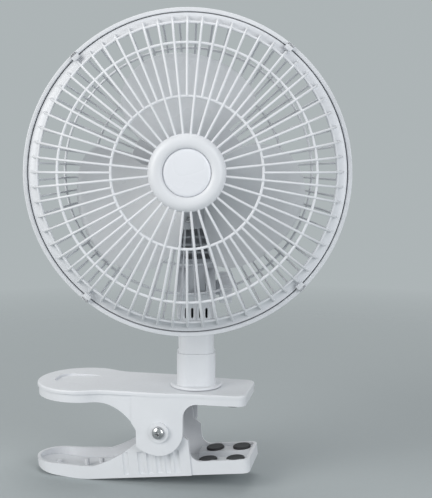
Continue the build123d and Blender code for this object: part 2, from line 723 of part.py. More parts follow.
with BuildPart() as lower_jaw:
    with BuildSketch(jaw_level(-LOWER_DEPTH)):
        add(lower_plan())
    extrude(amount=LOWER_DEPTH + EAR_RADIUS)
    add(tray_inside.part, mode=Mode.SUBTRACT)
    # rails that carry the pads, and room for the pads beside the walls
    with BuildSketch(jaw_level(-LOWER_DEPTH)):
        add(lower_plan(WALL / 2))
        slab(throat_corner[0], LOWER_TIP, -BULB_HALF, BULB_HALF, mode=Mode.INTERSECT)
        slab(0, LOWER_TIP, -RAIL_HALF, RAIL_HALF, mode=Mode.SUBTRACT)
    extrude(amount=LOWER_DEPTH - LOWER_RAIL)
    with BuildSketch(jaw_level(-LOWER_RAIL)):
        with lower_pads_at:
            Circle(PAD_RADIUS + SEAT_GAP)
    extrude(amount=LOWER_RAIL - LOWER_RIM, mode=Mode.SUBTRACT)
    with BuildSketch(jaw_level(-LOWER_DEPTH)):
        with Locations(*[(x, 0) for x in TRAY_BOSSES]):
            Circle(TRAY_BOSS)
    extrude(amount=LOWER_DEPTH - TRAY_BOSS_TOP)
    with BuildSketch(jaw_side):
        add(above_keel(0, EAR_RADIUS))
    extrude(amount=BULB_HALF, both=True, mode=Mode.INTERSECT)
    # the rim, from the handle's end over the ears to the tip
    with BuildSketch(jaw_side):
        with BuildLine():
            handle_top = (-LOWER_END, -HANDLE_RIM + RIM_END_RISE)
            waist = (-LOWER_WAIST, -HANDLE_RIM)
            ear_foot = (-EAR_RADIUS - EAR_FOOT[0], -EAR_FOOT[1])
            ear_back = on_ear(180 - EAR_BACK_ANGLE)
            ThreePointArc(handle_top, (-RIM_MIDDLE, -HANDLE_RIM + RIM_MIDDLE_RISE), waist)
            ThreePointArc(waist, RIM_CLIMB, ear_foot)
            Line(ear_foot, ear_back)
            ThreePointArc(ear_back, (0, EAR_RADIUS), (EAR_RADIUS, 0))
            Polyline(
                (EAR_RADIUS, 0),
                (EAR_RADIUS, -EAR_BROW),
                (EAR_RADIUS + EAR_NOSE[0], -EAR_NOSE[1]),
                throat_corner,
                (LOWER_TIP, -LOWER_RIM),
                (LOWER_TIP, -LOWER_DEPTH),
                (-LOWER_END, -LOWER_DEPTH),
                handle_top,
            )
        make_face()
        fillet(vertices().sort_by_distance(throat_corner)[0], radius=LOWER_THROAT_RADIUS)
    extrude(amount=BULB_HALF, both=True, mode=Mode.INTERSECT)
    # step in front of the ears
    with BuildSketch(jaw_level(-LOWER_DEPTH)):
        for low, high in ((-LOWER_FLANK_HALF, -LOWER_TIP_HALF), (LOWER_TIP_HALF, LOWER_FLANK_HALF)):
            slab(PANEL_END, LOWER_TIP, low, high)
    extrude(amount=LOWER_DEPTH, mode=Mode.SUBTRACT)
    # lugs on the ears that close against the rib
    with BuildSketch(jaw_level(0)):
        for side in (-1, 1):
            with Locations((STOP_AHEAD, side * (LOWER_FLANK_HALF - WALL / 2))):
                Rectangle(STOP_LONG, WALL)
    extrude(amount=STOP_TOP)
    with BuildSketch(jaw_side):
        Circle(PIVOT_SCREW + RUN_GAP)
    extrude(amount=BULB_HALF, both=True, mode=Mode.SUBTRACT)
    with BuildSketch(jaw_level(-LOWER_RAIL)):
        with lower_pads_at:
            Circle(PAD_STEM + SEAT_GAP)
    extrude(amount=-WALL - PAD_REACH, mode=Mode.SUBTRACT)
    # flutes down both sides
    flute_row = 2 * (LOWER_FLANK_HALF + FLUTE_RADIUS - FLUTE_DEEP)
    with BuildSketch(jaw_level(-LOWER_DEPTH + WALL)):
        with Locations((FLUTE_MIDDLE, 0)):
            with GridLocations(FLUTE_PITCH, flute_row, FLUTE_COUNT, 2):
                Circle(FLUTE_RADIUS)
        with Locations((FLUTE_ALONE, 0)):
            with GridLocations(FLUTE_PITCH, flute_row, 1, 2):
                Circle(FLUTE_RADIUS)
    extrude(amount=FLUTE_TALL, mode=Mode.SUBTRACT)

with BuildPart() as lower_pads:
    with BuildSketch(jaw_level(-LOWER_RAIL)):
        with lower_pads_at:
            Circle(PAD_RADIUS)
    extrude(amount=PAD_REACH)
    fillet(edges().group_by(Axis(pivot, jaw_up))[-1], radius=PAD_ROUND)
    with BuildSketch(jaw_level(-LOWER_RAIL)):
        with lower_pads_at:
            Circle(PAD_STEM)
    extrude(amount=-WALL - PAD_REACH + SEAT_GAP)

# ================================================================ swivel and neck
with BuildPart() as swivel_socket:
    with BuildSketch(post(COVER_TOP + BODY_GAP)):
        Circle(FLANGE_RADIUS)
    extrude(amount=FLANGE_THICK)
    fillet(faces().sort_by(Axis.Z)[-1].edges(), radius=EDGE_ROUND)
    with BuildSketch(post(FLANGE_TOP)):
        RectangleRounded(
            PLUG_WIDE + 2 * SOCKET_WALL,
            PLUG_DEEP + 2 * SOCKET_WALL,
            PLUG_CORNER + SOCKET_WALL,
        )
    extrude(amount=SOCKET_TALL)
    with BuildSketch(post(FLANGE_TOP + SOCKET_FLOOR)):
        RectangleRounded(PLUG_WIDE + 2 * SEAT_GAP, PLUG_DEEP + 2 * SEAT_GAP, PLUG_CORNER + SEAT_GAP)
    extrude(amount=SOCKET_TALL - SOCKET_FLOOR, mode=Mode.SUBTRACT)
    with BuildSketch(post(COVER_BOTTOM - BODY_GAP)):
        Circle(SPIGOT_RADIUS)
    extrude(amount=COVER_THICK + 2 * BODY_GAP)
    with BuildSketch(post(COVER_BOTTOM - BODY_GAP)):
        Circle(SWIVEL_SCREW + SEAT_GAP)
    extrude(amount=COVER_THICK + FLANGE_THICK, mode=Mode.SUBTRACT)

with BuildPart() as swivel_retainer:
    with BuildSketch(post(COVER_BOTTOM - BODY_GAP)):
        Circle(RETAINER_RADIUS)
        slab(0, RETAINER_LUG, -STOP_WIDE / 2, STOP_WIDE / 2)
        Circle(SWIVEL_SCREW + SEAT_GAP, mode=Mode.SUBTRACT)
    extrude(amount=-RETAINER_THICK)

with BuildPart() as swivel_screw:
    with BuildSketch(post(COVER_BOTTOM - BODY_GAP - RETAINER_THICK)):
        Circle(SWIVEL_HEAD)
    extrude(amount=-SWIVEL_HEAD_TALL)
    fillet(faces().sort_by(Axis.Z)[0].edges(), radius=EDGE_ROUND)
    with BuildSketch(post(COVER_BOTTOM - BODY_GAP - RETAINER_THICK)):
        Circle(SWIVEL_SCREW)
    extrude(amount=RETAINER_THICK + COVER_THICK + FLANGE_THICK - SEAT_GAP)

with BuildPart() as neck_blank:
    with BuildSketch(post(PLUG_BOTTOM)):
        RectangleRounded(PLUG_WIDE, PLUG_DEEP, PLUG_CORNER)
    extrude(amount=SOCKET_TOP + SEAT_GAP - PLUG_BOTTOM)
    with BuildSketch(post(SOCKET_TOP + SEAT_GAP)):
        RectangleRounded(NECK_WIDE, NECK_DEEP, PLUG_CORNER + NECK_STEP)
    extrude(amount=TILT_Z - SLOT_FLOOR_DROP - SOCKET_TOP - SEAT_GAP)
    with BuildSketch(hinge_side):
        Circle(FORK_RADIUS)
        slab(-NECK_DEEP / 2, NECK_DEEP / 2, -FORK_SKIRT, 0)
    extrude(amount=FORK_WIDE / 2, both=True)
    chamfer(faces().sort_by(Axis(tilt_pivot, right))[-1].edges(), length=FORK_BEVEL)
    chamfer(faces().sort_by(Axis(tilt_pivot, right))[0].edges(), length=FORK_BEVEL)
    with BuildSketch(hinge_side):
        slab(WALL - NECK_DEEP / 2, FORK_RADIUS, -SLOT_FLOOR_DROP, FORK_RADIUS)
        slab(-FORK_RADIUS, FORK_RADIUS, -FORK_FRONT_DROP, FORK_RADIUS)
    extrude(amount=FORK_SLOT / 2, both=True, mode=Mode.SUBTRACT)
    with BuildSketch(post(PLUG_BOTTOM + WALL)):
        inside = PLUG_WIDE + 2 * NECK_STEP - 2 * NECK_WALL
        RectangleRounded(inside, inside - PLUG_WIDE + PLUG_DEEP, PLUG_CORNER - WALL)
    extrude(amount=NECK_INSIDE_TOP - PLUG_BOTTOM - WALL, mode=Mode.SUBTRACT)
    # screw bosses from side to side
    with BuildSketch(hinge_side):
        with Locations(*[(-NECK_SCREW_AHEAD, z - TILT_Z) for z in NECK_SCREW_HEIGHTS]):
            Circle(NECK_SCREW_BOSS)
    extrude(amount=PLUG_WIDE / 2 - WALL / 2, both=True)
    with BuildSketch(hinge_side):
        with Locations(*[(-NECK_SCREW_AHEAD, z - TILT_Z) for z in NECK_SCREW_HEIGHTS]):
            Circle(NECK_SCREW + SEAT_GAP)
    extrude(amount=-NECK_WIDE, mode=Mode.SUBTRACT)
    with BuildSketch(hinge_side):
        with Locations(*[(-NECK_SCREW_AHEAD, z - TILT_Z) for z in NECK_SCREW_HEIGHTS]):
            Circle(NECK_SCREW + SEAT_GAP)
    extrude(amount=PLUG_WIDE / 2 - WALL, mode=Mode.SUBTRACT)
    with BuildSketch(hinge_side.offset(-PLUG_WIDE / 2 + WALL)):
        with Locations(*[(-NECK_SCREW_AHEAD, z - TILT_Z) for z in NECK_SCREW_HEIGHTS]):
            Circle(NECK_SCREW_HEAD + SEAT_GAP)
    extrude(amount=-NECK_WIDE, mode=Mode.SUBTRACT)
    # small slots under the front lip
    with BuildSketch(neck_front):
        with Locations(*[(x, -GRILLE_DROP) for x in GRILLE_AT]):
            SlotOverall(GRILLE_TALL, GRILLE_WIDE, rotation=90)
    extrude(amount=NECK_DEEP, mode=Mode.SUBTRACT)
    # switch and gland openings at the back
    with BuildSketch(neck_front):
        with Locations((0, SWITCH_HEIGHT - TILT_Z)):
            Rectangle(SLIDER_WIDE + 2 * BODY_GAP, SLIDER_TALL + SWITCH_TRAVEL + 2 * BODY_GAP)
        with Locations((0, GLAND_HEIGHT - TILT_Z)):
            Circle(GLAND_RADIUS + SEAT_GAP)
    extrude(amount=-NECK_DEEP, mode=Mode.SUBTRACT)
    # bolt hole through both ears, and the pocket of its nut
    with BuildSketch(hinge_side):
        Circle(TILT_BOLT + RUN_GAP)
    extrude(amount=FORK_WIDE, both=True, mode=Mode.SUBTRACT)
    with BuildSketch(hinge_side.offset(-FORK_WIDE / 2)):
        RegularPolygon(TILT_NUT_FLATS / 2 + SEAT_GAP, 6, major_radius=False)
    extrude(amount=TILT_NUT_TALL, mode=Mode.SUBTRACT)

with BuildPart() as neck_left_shell:
    add(neck_blank.part)
    split(bisect_by=hinge_side, keep=Keep.BOTTOM)

with BuildPart() as neck_right_shell:
    add(neck_blank.part)
    split(bisect_by=hinge_side, keep=Keep.TOP)

with BuildPart() as neck_screws:
    with BuildSketch(hinge_side.offset(-PLUG_WIDE / 2 + WALL)):
        with Locations(*[(-NECK_SCREW_AHEAD, z - TILT_Z) for z in NECK_SCREW_HEIGHTS]):
            Circle(NECK_SCREW_HEAD)
    extrude(amount=-WALL + SEAT_GAP)
    with BuildSketch(hinge_side.offset(-PLUG_WIDE / 2 + WALL)):
        with Locations(*[(-NECK_SCREW_AHEAD, z - TILT_Z) for z in NECK_SCREW_HEIGHTS]):
            Circle(NECK_SCREW)
    extrude(amount=PLUG_WIDE - 2 * WALL - SEAT_GAP)

neck_inside = NECK_DEEP / 2 - NECK_WALL
with BuildPart() as cord_gland:
    gland_back = Plane(origin=(NECK_X, 0, GLAND_HEIGHT), x_dir=right, z_dir=-forward)
    with BuildSketch(gland_back.offset(neck_inside)):
        Circle(GLAND_RADIUS)
    extrude(amount=NECK_WALL + GLAND_PROUD)
    with BuildSketch(gland_back.offset(neck_inside)):
        Circle(GLAND_COLLAR)
    extrude(amount=-WALL)
    with BuildSketch(gland_back.offset(NECK_DEEP / 2)):
        Circle(GLAND_COLLAR)
    extrude(amount=WALL)
    with BuildSketch(gland_back):
        Circle(GLAND_BORE)
    extrude(amount=NECK_DEEP, mode=Mode.SUBTRACT)

with BuildPart() as switch_body:
    switch_back = Plane(origin=(NECK_X, 0, SWITCH_HEIGHT), x_dir=-right, z_dir=-forward)
    with BuildSketch(switch_back.offset(neck_inside - SEAT_GAP)):
        Rectangle(SWITCH_WIDE, SWITCH_TALL)
    extrude(amount=-SWITCH_DEEP)
    with BuildSketch(switch_back.offset(neck_inside - SEAT_GAP)):
        channel_tall = SLIDER_PLATE_TALL + SWITCH_TRAVEL + 2 * BODY_GAP
        Rectangle(SLIDER_PLATE_WIDE + 2 * BODY_GAP, channel_tall)
    extrude(amount=-SLIDER_PLATE_THICK - 2 * BODY_GAP, mode=Mode.SUBTRACT)

with BuildPart() as switch_slider:
    slider_plane = switch_back.offset(neck_inside - SEAT_GAP - BODY_GAP)
    with BuildSketch(slider_plane):
        with Locations((0, -SWITCH_TRAVEL / 2)):
            Rectangle(SLIDER_PLATE_WIDE, SLIDER_PLATE_TALL)
    extrude(amount=-SLIDER_PLATE_THICK)
    with BuildSketch(slider_plane):
        with Locations((0, -SWITCH_TRAVEL / 2)):
            Rectangle(SLIDER_WIDE, SLIDER_TALL)
    extrude(amount=NECK_WALL + SLIDER_PROUD)

with BuildPart() as tilt_nut:
    with BuildSketch(hinge_side.offset(-FORK_WIDE / 2)):
        RegularPolygon(TILT_NUT_FLATS / 2, 6, major_radius=False)
        Circle(TILT_BOLT + RUN_GAP, mode=Mode.SUBTRACT)
    extrude(amount=TILT_NUT_TALL)

with BuildPart() as tilt_knob:
    with BuildSketch(hinge_side.offset(KNOB_OUT)):
        Circle(KNOB_RADIUS)
        with PolarLocations(KNOB_RADIUS + KNOB_SCALLOP - KNOB_BITE, KNOB_LOBES):
            Circle(KNOB_SCALLOP, mode=Mode.SUBTRACT)
        fillet(vertices(), radius=KNOB_ROUND)
    extrude(amount=KNOB_THICK)
    fillet(faces().sort_by(Axis(tilt_pivot, right))[-1].edges(), radius=EDGE_ROUND)
    with BuildSketch(hinge_side.offset(FORK_WIDE / 2 + BODY_GAP)):
        Circle(KNOB_COLLAR)
    extrude(amount=KNOB_OUT - FORK_WIDE / 2 - BODY_GAP)
    with BuildSketch(hinge_side.offset(FORK_WIDE / 2)):
        Circle(TILT_BOLT + SEAT_GAP)
    extrude(amount=KNOB_OUT + KNOB_THICK - WALL - FORK_WIDE / 2, mode=Mode.SUBTRACT)

with BuildPart() as tilt_bolt:
    with BuildSketch(hinge_side.offset(SEAT_GAP - FORK_WIDE / 2)):
        Circle(TILT_BOLT)
    extrude(amount=FORK_WIDE / 2 + KNOB_OUT + KNOB_THICK - WALL - 2 * SEAT_GAP)

# ================================================================ places of the head's screws
guard_bosses_at = PolarLocations(SHELL_BOSS_CIRCLE, 4)
shell_bosses_at = PolarLocations(SHELL_BOSS_CIRCLE, 4, start_angle=45)
bolts_at = PolarLocations(BOLT_CIRCLE, 4, start_angle=45)

# ================================================================ cage
band_outer = LIP_OUTER - LIP_THICK - BAND_GAP
band_inner = band_outer - BAND_WIDE
edge_hoop = band_inner - EDGE_HOOP_INSET
spoke_curve_start = (HUB_RADIUS - WALL, CROWN - HUB_DROP)
spoke_curve_middle = (MIDDLE_RADIUS, CROWN - MIDDLE_DROP)
spoke_curve_end = (OUTER_HOOP, CROWN - DOME_DROP)
spoke_foot = (band_inner + BAND_WIDE / 2, BAND_FRONT - 2 * BAND_THICK)


with BuildLine() as spoke_curve:
    dome = ThreePointArc(spoke_curve_start, spoke_curve_middle, spoke_curve_end)
    side = TangentArc(spoke_curve_end, spoke_foot, tangent=dome % 1)


def spoke_height(arc, radius):
    """Height of the spokes' middle line at this radius, on one of its two arcs."""
    across_arc = radius - arc.arc_center.X
    return arc.arc_center.Y + math.sqrt(arc.radius**2 - across_arc**2)


def front_spoke(inner):
    """One spoke of the front cage along the X axis, from this radius out to the band."""
    with BuildPart() as spoke:
        with BuildSketch(Plane.XZ):
            add(spoke_curve.line)
            trace(line_width=SPOKE_DEEP)
            if inner > HUB_RADIUS:
                slab(0, inner, 0, 2 * CROWN, mode=Mode.SUBTRACT)
        extrude(amount=SPOKE_WIDE / 2, both=True)
    return spoke.part


long_spoke = front_spoke(0)
short_spoke = front_spoke(INNER_HOOP)
half_pitch = 180 / SPOKE_PAIRS
with BuildPart(face) as front_guard:
    # concave band with the skirt that drops into the rear lip
    with BuildSketch(section):
        with BuildLine():
            inner_top = (band_inner, BAND_FRONT)
            outer_top = (band_outer, BAND_FRONT - BAND_DROP)
            skirt_foot = (band_outer, BODY_GAP - LEDGE_BACK)
            cove = (band_inner + BAND_COVE[0], BAND_FRONT - BAND_COVE[1])
            ThreePointArc(inner_top, cove, outer_top)
            Polyline(
                outer_top,
                skirt_foot,
                (band_outer - BAND_THICK, skirt_foot[1]),
                (band_outer - BAND_THICK, outer_top[1] - BAND_THICK),
                (band_inner, BAND_FRONT - 2 * BAND_THICK),
                inner_top,
            )
        make_face()
    revolve(axis=fan_axis)
    with BuildSketch(section):
        for arc, radius in ((side, edge_hoop), (dome, OUTER_HOOP), (dome, INNER_HOOP)):
            with Locations((radius, spoke_height(arc, radius))):
                Rectangle(HOOP, HOOP)
    revolve(axis=fan_axis)
    # hub with a raised ring round a recess for the badge
    with BuildSketch(section):
        with BuildLine():
            ring_in = (BADGE_RADIUS + SEAT_GAP, CROWN + CROWN_RING / 2)
            ring_out = (HUB_RADIUS, CROWN - HUB_DROP)
            ThreePointArc(ring_in, (CROWN_RING_RADIUS, CROWN + CROWN_RING), ring_out)
            Polyline(
                ring_out,
                (HUB_RADIUS, CROWN - 2 * WALL),
                (HUB_RADIUS - WALL, CROWN - 2 * WALL),
                (HUB_RADIUS - WALL, CROWN - WALL),
                (0, CROWN - WALL),
                (0, CROWN),
                (ring_in[0], CROWN),
                ring_in,
            )
        make_face()
    revolve(axis=fan_axis)
    with PolarLocations(0, SPOKE_PAIRS, start_angle=90 + half_pitch):
        add(long_spoke)
    with PolarLocations(0, SPOKE_PAIRS, start_angle=90):
        add(short_spoke)

with BuildPart() as hub_badge:
    with BuildSketch(face.offset(CROWN)):
        Circle(BADGE_RADIUS)
    extrude(amount=BADGE_THICK)
    fillet(faces().sort_by(fan_axis)[-1].edges(), radius=BADGE_THICK / 2)

plate_middle = -REAR_DEPTH - PLATE_THICK / 2
rear_spoke_foot = (LIP_OUTER - LIP_THICK - SPOKE_BITE, -LEDGE_BACK - SPOKE_BITE)
with BuildPart() as rear_spoke:
    with BuildSketch(Plane.XZ):
        with BuildLine():
            FilletPolyline(
                rear_spoke_foot,
                (REAR_BEND, plate_middle),
                (REAR_PLATE - WALL, plate_middle),
                radius=REAR_BEND_RADIUS,
            )
        trace(line_width=PLATE_THICK)
    extrude(amount=SPOKE_WIDE / 2, both=True)

with BuildPart() as snap_tab:
    with BuildSketch(Plane.XZ):
        with BuildLine():
            Polyline(
                (LIP_OUTER - BODY_GAP, 0),
                (LIP_OUTER - BODY_GAP, TAB_TALL),
                (LIP_OUTER - TAB_REACH, TAB_TALL),
                (LIP_OUTER - TAB_REACH, TAB_TALL - TAB_THICK),
                (LIP_OUTER - LIP_THICK + BODY_GAP, TAB_TALL - TAB_THICK),
                (LIP_OUTER - LIP_THICK + BODY_GAP, 0),
                close=True,
            )
        make_face()
    extrude(amount=TAB_WIDE / 2, both=True)

side_slope = (rear_spoke_foot[0] - REAR_BEND) / (rear_spoke_foot[1] - plate_middle)
outer_hoop_height = rear_spoke_foot[1] - (rear_spoke_foot[0] - REAR_OUTER_HOOP) / side_slope
with BuildPart(face) as rear_guard:
    with BuildSketch(section):
        slab(LIP_OUTER - LIP_THICK, LIP_OUTER, -LIP_BACK, LIP_FRONT)
        slab(LIP_OUTER - 2 * LIP_THICK, LIP_OUTER - LIP_THICK / 2, -LIP_BACK, -LEDGE_BACK)
        slab(PLATE_HOLE, REAR_PLATE, HOUSING_FRONT, -REAR_DEPTH)
        with Locations((REAR_OUTER_HOOP, outer_hoop_height), (REAR_INNER_HOOP, plate_middle)):
            Rectangle(HOOP, HOOP)
    revolve(axis=fan_axis)
    with PolarLocations(0, REAR_SPOKES, start_angle=90 + 180 / REAR_SPOKES):
        add(rear_spoke.part)
    for angle in TAB_ANGLES:
        with PolarLocations(0, 1, start_angle=-angle):
            add(snap_tab.part)
    with BuildSketch(face.offset(-REAR_DEPTH)):
        with guard_bosses_at:
            Circle(SHELL_SCREW + SEAT_GAP)
    extrude(amount=-PLATE_THICK, mode=Mode.SUBTRACT)

with BuildPart() as guard_screws:
    with BuildSketch(face.offset(-REAR_DEPTH)):
        with guard_bosses_at:
            Circle(SHELL_SCREW_HEAD)
    extrude(amount=SHELL_SCREW)
    with BuildSketch(face.offset(-REAR_DEPTH)):
        with guard_bosses_at:
            Circle(SHELL_SCREW)
    extrude(amount=-PLATE_THICK - SHELL_SCREW_SEAT + SEAT_GAP)

# ================================================================ motor housing
housing_wall = HOUSING_RADIUS - WALL
with BuildPart() as side_vent:
    with Locations((HOUSING_RADIUS, 0, HOUSING_SPLIT + SPLIT_BACK / 2)):
        Box(4 * WALL, VENT_WIDE, SPLIT_BACK / 2)

with BuildPart(face) as motor_housing_front:
    with BuildSketch(section):
        slab(0, HOUSING_RADIUS, HOUSING_SPLIT, HOUSING_FRONT)
        fillet(vertices().sort_by_distance((HOUSING_RADIUS, HOUSING_FRONT))[0], radius=WALL)
    revolve(axis=fan_axis)
    # channel between the housing and the fork
    with BuildSketch(post(TILT_Z + FORK_RADIUS)):
        slab(-BRACKET_WIDE / 2, BRACKET_WIDE / 2, -BRACKET_AHEAD, BRACKET_BEHIND)
    extrude(amount=PIVOT_TO_HUB - housing_wall - FORK_RADIUS + 2 * WALL)
    with BuildSketch(post(TILT_Z + BRACKET_FLOOR)):
        slab(WALL - BRACKET_WIDE / 2, BRACKET_WIDE / 2 - WALL, -BRACKET_AHEAD, BRACKET_BEHIND - WALL)
    extrude(amount=PIVOT_TO_HUB - HOUSING_RADIUS - BRACKET_FLOOR, mode=Mode.SUBTRACT)
    for i in range(LOUVRES):
        louvre_half = (BRACKET_WIDE - WALL) / 2
        with BuildSketch(post(TILT_Z + BRACKET_FLOOR + LOUVRE_PITCH * (i + 1) - LOUVRE_THICK)):
            slab(-louvre_half, louvre_half, -BRACKET_AHEAD, WALL - BRACKET_AHEAD)
        extrude(amount=LOUVRE_THICK)
    with BuildSketch(hinge_side):
        Circle(FORK_RADIUS + BRACKET_GAP)
    extrude(amount=BRACKET_WIDE, both=True, mode=Mode.SUBTRACT)
    # tilt lug
    with BuildSketch(hinge_side):
        Circle(LUG_RADIUS)
        slab(-LUG_RADIUS, BRACKET_BEHIND, 0, BRACKET_FLOOR)
    extrude(amount=LUG_WIDE / 2, both=True)
    with BuildSketch(hinge_side):
        Circle(TILT_BOLT + RUN_GAP)
    extrude(amount=LUG_WIDE, both=True, mode=Mode.SUBTRACT)
    with BuildSketch(section):
        slab(0, housing_wall, HOUSING_SPLIT, HOUSING_FRONT - WALL)
        slab(0, SHAFT_HOLE, HOUSING_SPLIT, HOUSING_FRONT)
    revolve(axis=fan_axis, mode=Mode.SUBTRACT)
    # bosses for the shell screws, the guard screws and the motor bolts
    with BuildSketch(face.offset(HOUSING_FRONT - WALL / 2)):
        with shell_bosses_at:
            Circle(SHELL_BOSS)
    extrude(amount=WALL / 2 - SPLIT_BACK)
    with BuildSketch(face.offset(HOUSING_FRONT - WALL / 2)):
        with guard_bosses_at:
            Circle(SHELL_BOSS)
    extrude(amount=WALL / 2 - SHELL_SCREW_SEAT)
    with BuildSketch(face.offset(HOUSING_FRONT - WALL / 2)):
        with bolts_at:
            Circle(2 * MOTOR_BOLT)
    extrude(amount=WALL / 2 - FRONT_BRACKET_AHEAD)
    with BuildSketch(face.offset(HOUSING_SPLIT)):
        with shell_bosses_at:
            Circle(SHELL_SCREW + SEAT_GAP)
    extrude(amount=SHELL_SCREW_LONG - SHELL_SCREW_SEAT + SEAT_GAP, mode=Mode.SUBTRACT)
    with BuildSketch(face.offset(HOUSING_FRONT)):
        with guard_bosses_at:
            Circle(SHELL_SCREW + SEAT_GAP)
    extrude(amount=-SHELL_SCREW_SEAT, mode=Mode.SUBTRACT)
    with BuildSketch(face.offset(FRONT_PLATE)):
        with bolts_at:
            Circle(MOTOR_BOLT + SEAT_GAP)
    extrude(amount=FRONT_BRACKET_AHEAD - WALL / 2, mode=Mode.SUBTRACT)
    for middle in (0, 180):
        spread = VENT_PITCH * (VENTS - 1)
        with PolarLocations(0, VENTS, middle - spread / 2, spread, endpoint=True):
            add(side_vent.part, mode=Mode.SUBTRACT)

with BuildPart(face) as motor_housing_rear:
    with BuildSketch(section):
        slab(0, HOUSING_RADIUS, HOUSING_BACK, HOUSING_SPLIT)
        fillet(vertices().sort_by_distance((HOUSING_RADIUS, HOUSING_BACK))[0], radius=HOUSING_ROUND)
    revolve(axis=fan_axis)
    with BuildSketch(section):
        slab(0, housing_wall, HOUSING_BACK + WALL, HOUSING_SPLIT)
        fillet(
            vertices().sort_by_distance((housing_wall, HOUSING_BACK + WALL))[0],
            radius=HOUSING_ROUND - WALL,
        )
    revolve(axis=fan_axis, mode=Mode.SUBTRACT)
    with BuildSketch(face.offset(HOUSING_SPLIT)):
        with shell_bosses_at:
            Circle(SHELL_BOSS)
    extrude(amount=HOUSING_BACK + WALL / 2 - HOUSING_SPLIT)
    with BuildSketch(face.offset(HOUSING_SPLIT)):
        with shell_bosses_at:
            Circle(SHELL_SCREW + SEAT_GAP)
    extrude(amount=-SHELL_SCREW_SEAT, mode=Mode.SUBTRACT)
    with BuildSketch(face.offset(HOUSING_SPLIT - SHELL_SCREW_SEAT)):
        with shell_bosses_at:
            Circle(SHELL_SCREW_HEAD + SEAT_GAP)
    extrude(amount=HOUSING_BACK - HOUSING_SPLIT, mode=Mode.SUBTRACT)
    with BuildSketch(face.offset(HOUSING_BACK)):
        for i in range(REAR_VENTS):
            y = REAR_VENT_PITCH * (i - (REAR_VENTS - 1) / 2)
            with Locations((0, y)):
                SlotOverall(2 * math.sqrt(REAR_VENT_REACH**2 - y**2), VENT_WIDE)
    extrude(amount=WALL, mode=Mode.SUBTRACT)

with BuildPart() as housing_screws:
    with BuildSketch(face.offset(HOUSING_SPLIT - SHELL_SCREW_SEAT)):
        with shell_bosses_at:
            Circle(SHELL_SCREW_HEAD)
    extrude(amount=-WALL)
    with BuildSketch(face.offset(HOUSING_SPLIT - SHELL_SCREW_SEAT)):
        with shell_bosses_at:
            Circle(SHELL_SCREW)
    extrude(amount=SHELL_SCREW_LONG)

# ================================================================ motor
with BuildPart(face) as stator_core:
    with BuildSketch(face.offset(STATOR_BACK)):
        Circle(STATOR_RADIUS)
        Circle(STATOR_RADIUS - STATOR_RING, mode=Mode.SUBTRACT)
        with PolarLocations(0, POLES):
            slab(ROTOR_RADIUS - 1, STATOR_RADIUS - 1, -POLE_WIDE / 2, POLE_WIDE / 2)
        Circle(ROTOR_RADIUS + AIR_GAP, mode=Mode.SUBTRACT)
        with bolts_at:
            Circle(MOTOR_BOLT + SEAT_GAP, mode=Mode.SUBTRACT)
    extrude(amount=STATOR_LONG)

coil_inner = ROTOR_RADIUS + AIR_GAP + COIL_CLEAR
stator_middle = STATOR_BACK + STATOR_LONG / 2
with BuildPart() as coil:
    with Locations((coil_inner + COIL_LONG / 2, 0, stator_middle)):
        Box(COIL_LONG, POLE_WIDE + 2 * COIL_BUILD, STATOR_LONG + 2 * COIL_BUILD)
        Box(
            COIL_LONG,
            POLE_WIDE + 2 * SEAT_GAP,
            STATOR_LONG + 2 * SEAT_GAP,
            mode=Mode.SUBTRACT,
        )

with BuildPart(face) as stator_coils:
    with PolarLocations(0, POLES):
        add(coil.part)


def motor_bracket(plate_face, stator_face, cup_front):
    """Plate with feet on the stator and a cup for the bearing. Places are in front of the rim."""
    with BuildPart() as bracket:
        with BuildSketch(face.offset(plate_face)):
            Circle(STATOR_RADIUS)
            with PolarLocations((BEARING_RADIUS + CUP_WALL + STATOR_RADIUS) / 2, 4):
                Circle(BEARING_RADIUS, mode=Mode.SUBTRACT)
        extrude(amount=-MOTOR_PLATE)
        with BuildSketch(face.offset(plate_face)):
            with bolts_at:
                Circle(2 * MOTOR_BOLT)
        extrude(amount=stator_face - plate_face)
        with BuildSketch(face.offset(cup_front)):
            Circle(BEARING_RADIUS + CUP_WALL)
        extrude(amount=-BEARING_LONG)
        with BuildSketch(face.offset(cup_front)):
            Circle(BEARING_RADIUS + RUN_GAP)
        extrude(amount=-BEARING_LONG, mode=Mode.SUBTRACT)
        with BuildSketch(face.offset(plate_face)):
            with bolts_at:
                Circle(MOTOR_BOLT + SEAT_GAP)
        extrude(amount=STATOR_LONG, both=True, mode=Mode.SUBTRACT)
    return bracket


def bearing(front):
    """Ball bearing as one ring, with its front face this far in front of the rim."""
    with BuildPart() as ring:
        with BuildSketch(face.offset(front)):
            Circle(BEARING_RADIUS)
            Circle(SHAFT_RADIUS + RUN_GAP, mode=Mode.SUBTRACT)
        extrude(amount=-BEARING_LONG)
    return ring


front_cup = FRONT_PLATE + BEARING_LONG - WALL
rear_cup = REAR_PLATE_FACE + WALL
front_bracket = motor_bracket(FRONT_PLATE, STATOR_FRONT, front_cup)
rear_bracket = motor_bracket(REAR_PLATE_FACE, STATOR_BACK, rear_cup)
front_bearing = bearing(front_cup)
rear_bearing = bearing(rear_cup)

with BuildPart() as motor_bolts:
    with BuildSketch(face.offset(REAR_PLATE_FACE - MOTOR_PLATE)):
        with bolts_at:
            RegularPolygon(MOTOR_BOLT_HEAD, 6, major_radius=False)
    extrude(amount=-WALL)
    with BuildSketch(face.offset(REAR_PLATE_FACE - MOTOR_PLATE)):
        with bolts_at:
            Circle(MOTOR_BOLT)
    extrude(amount=REAR_BRACKET_BEHIND + MOTOR_PLATE - WALL)

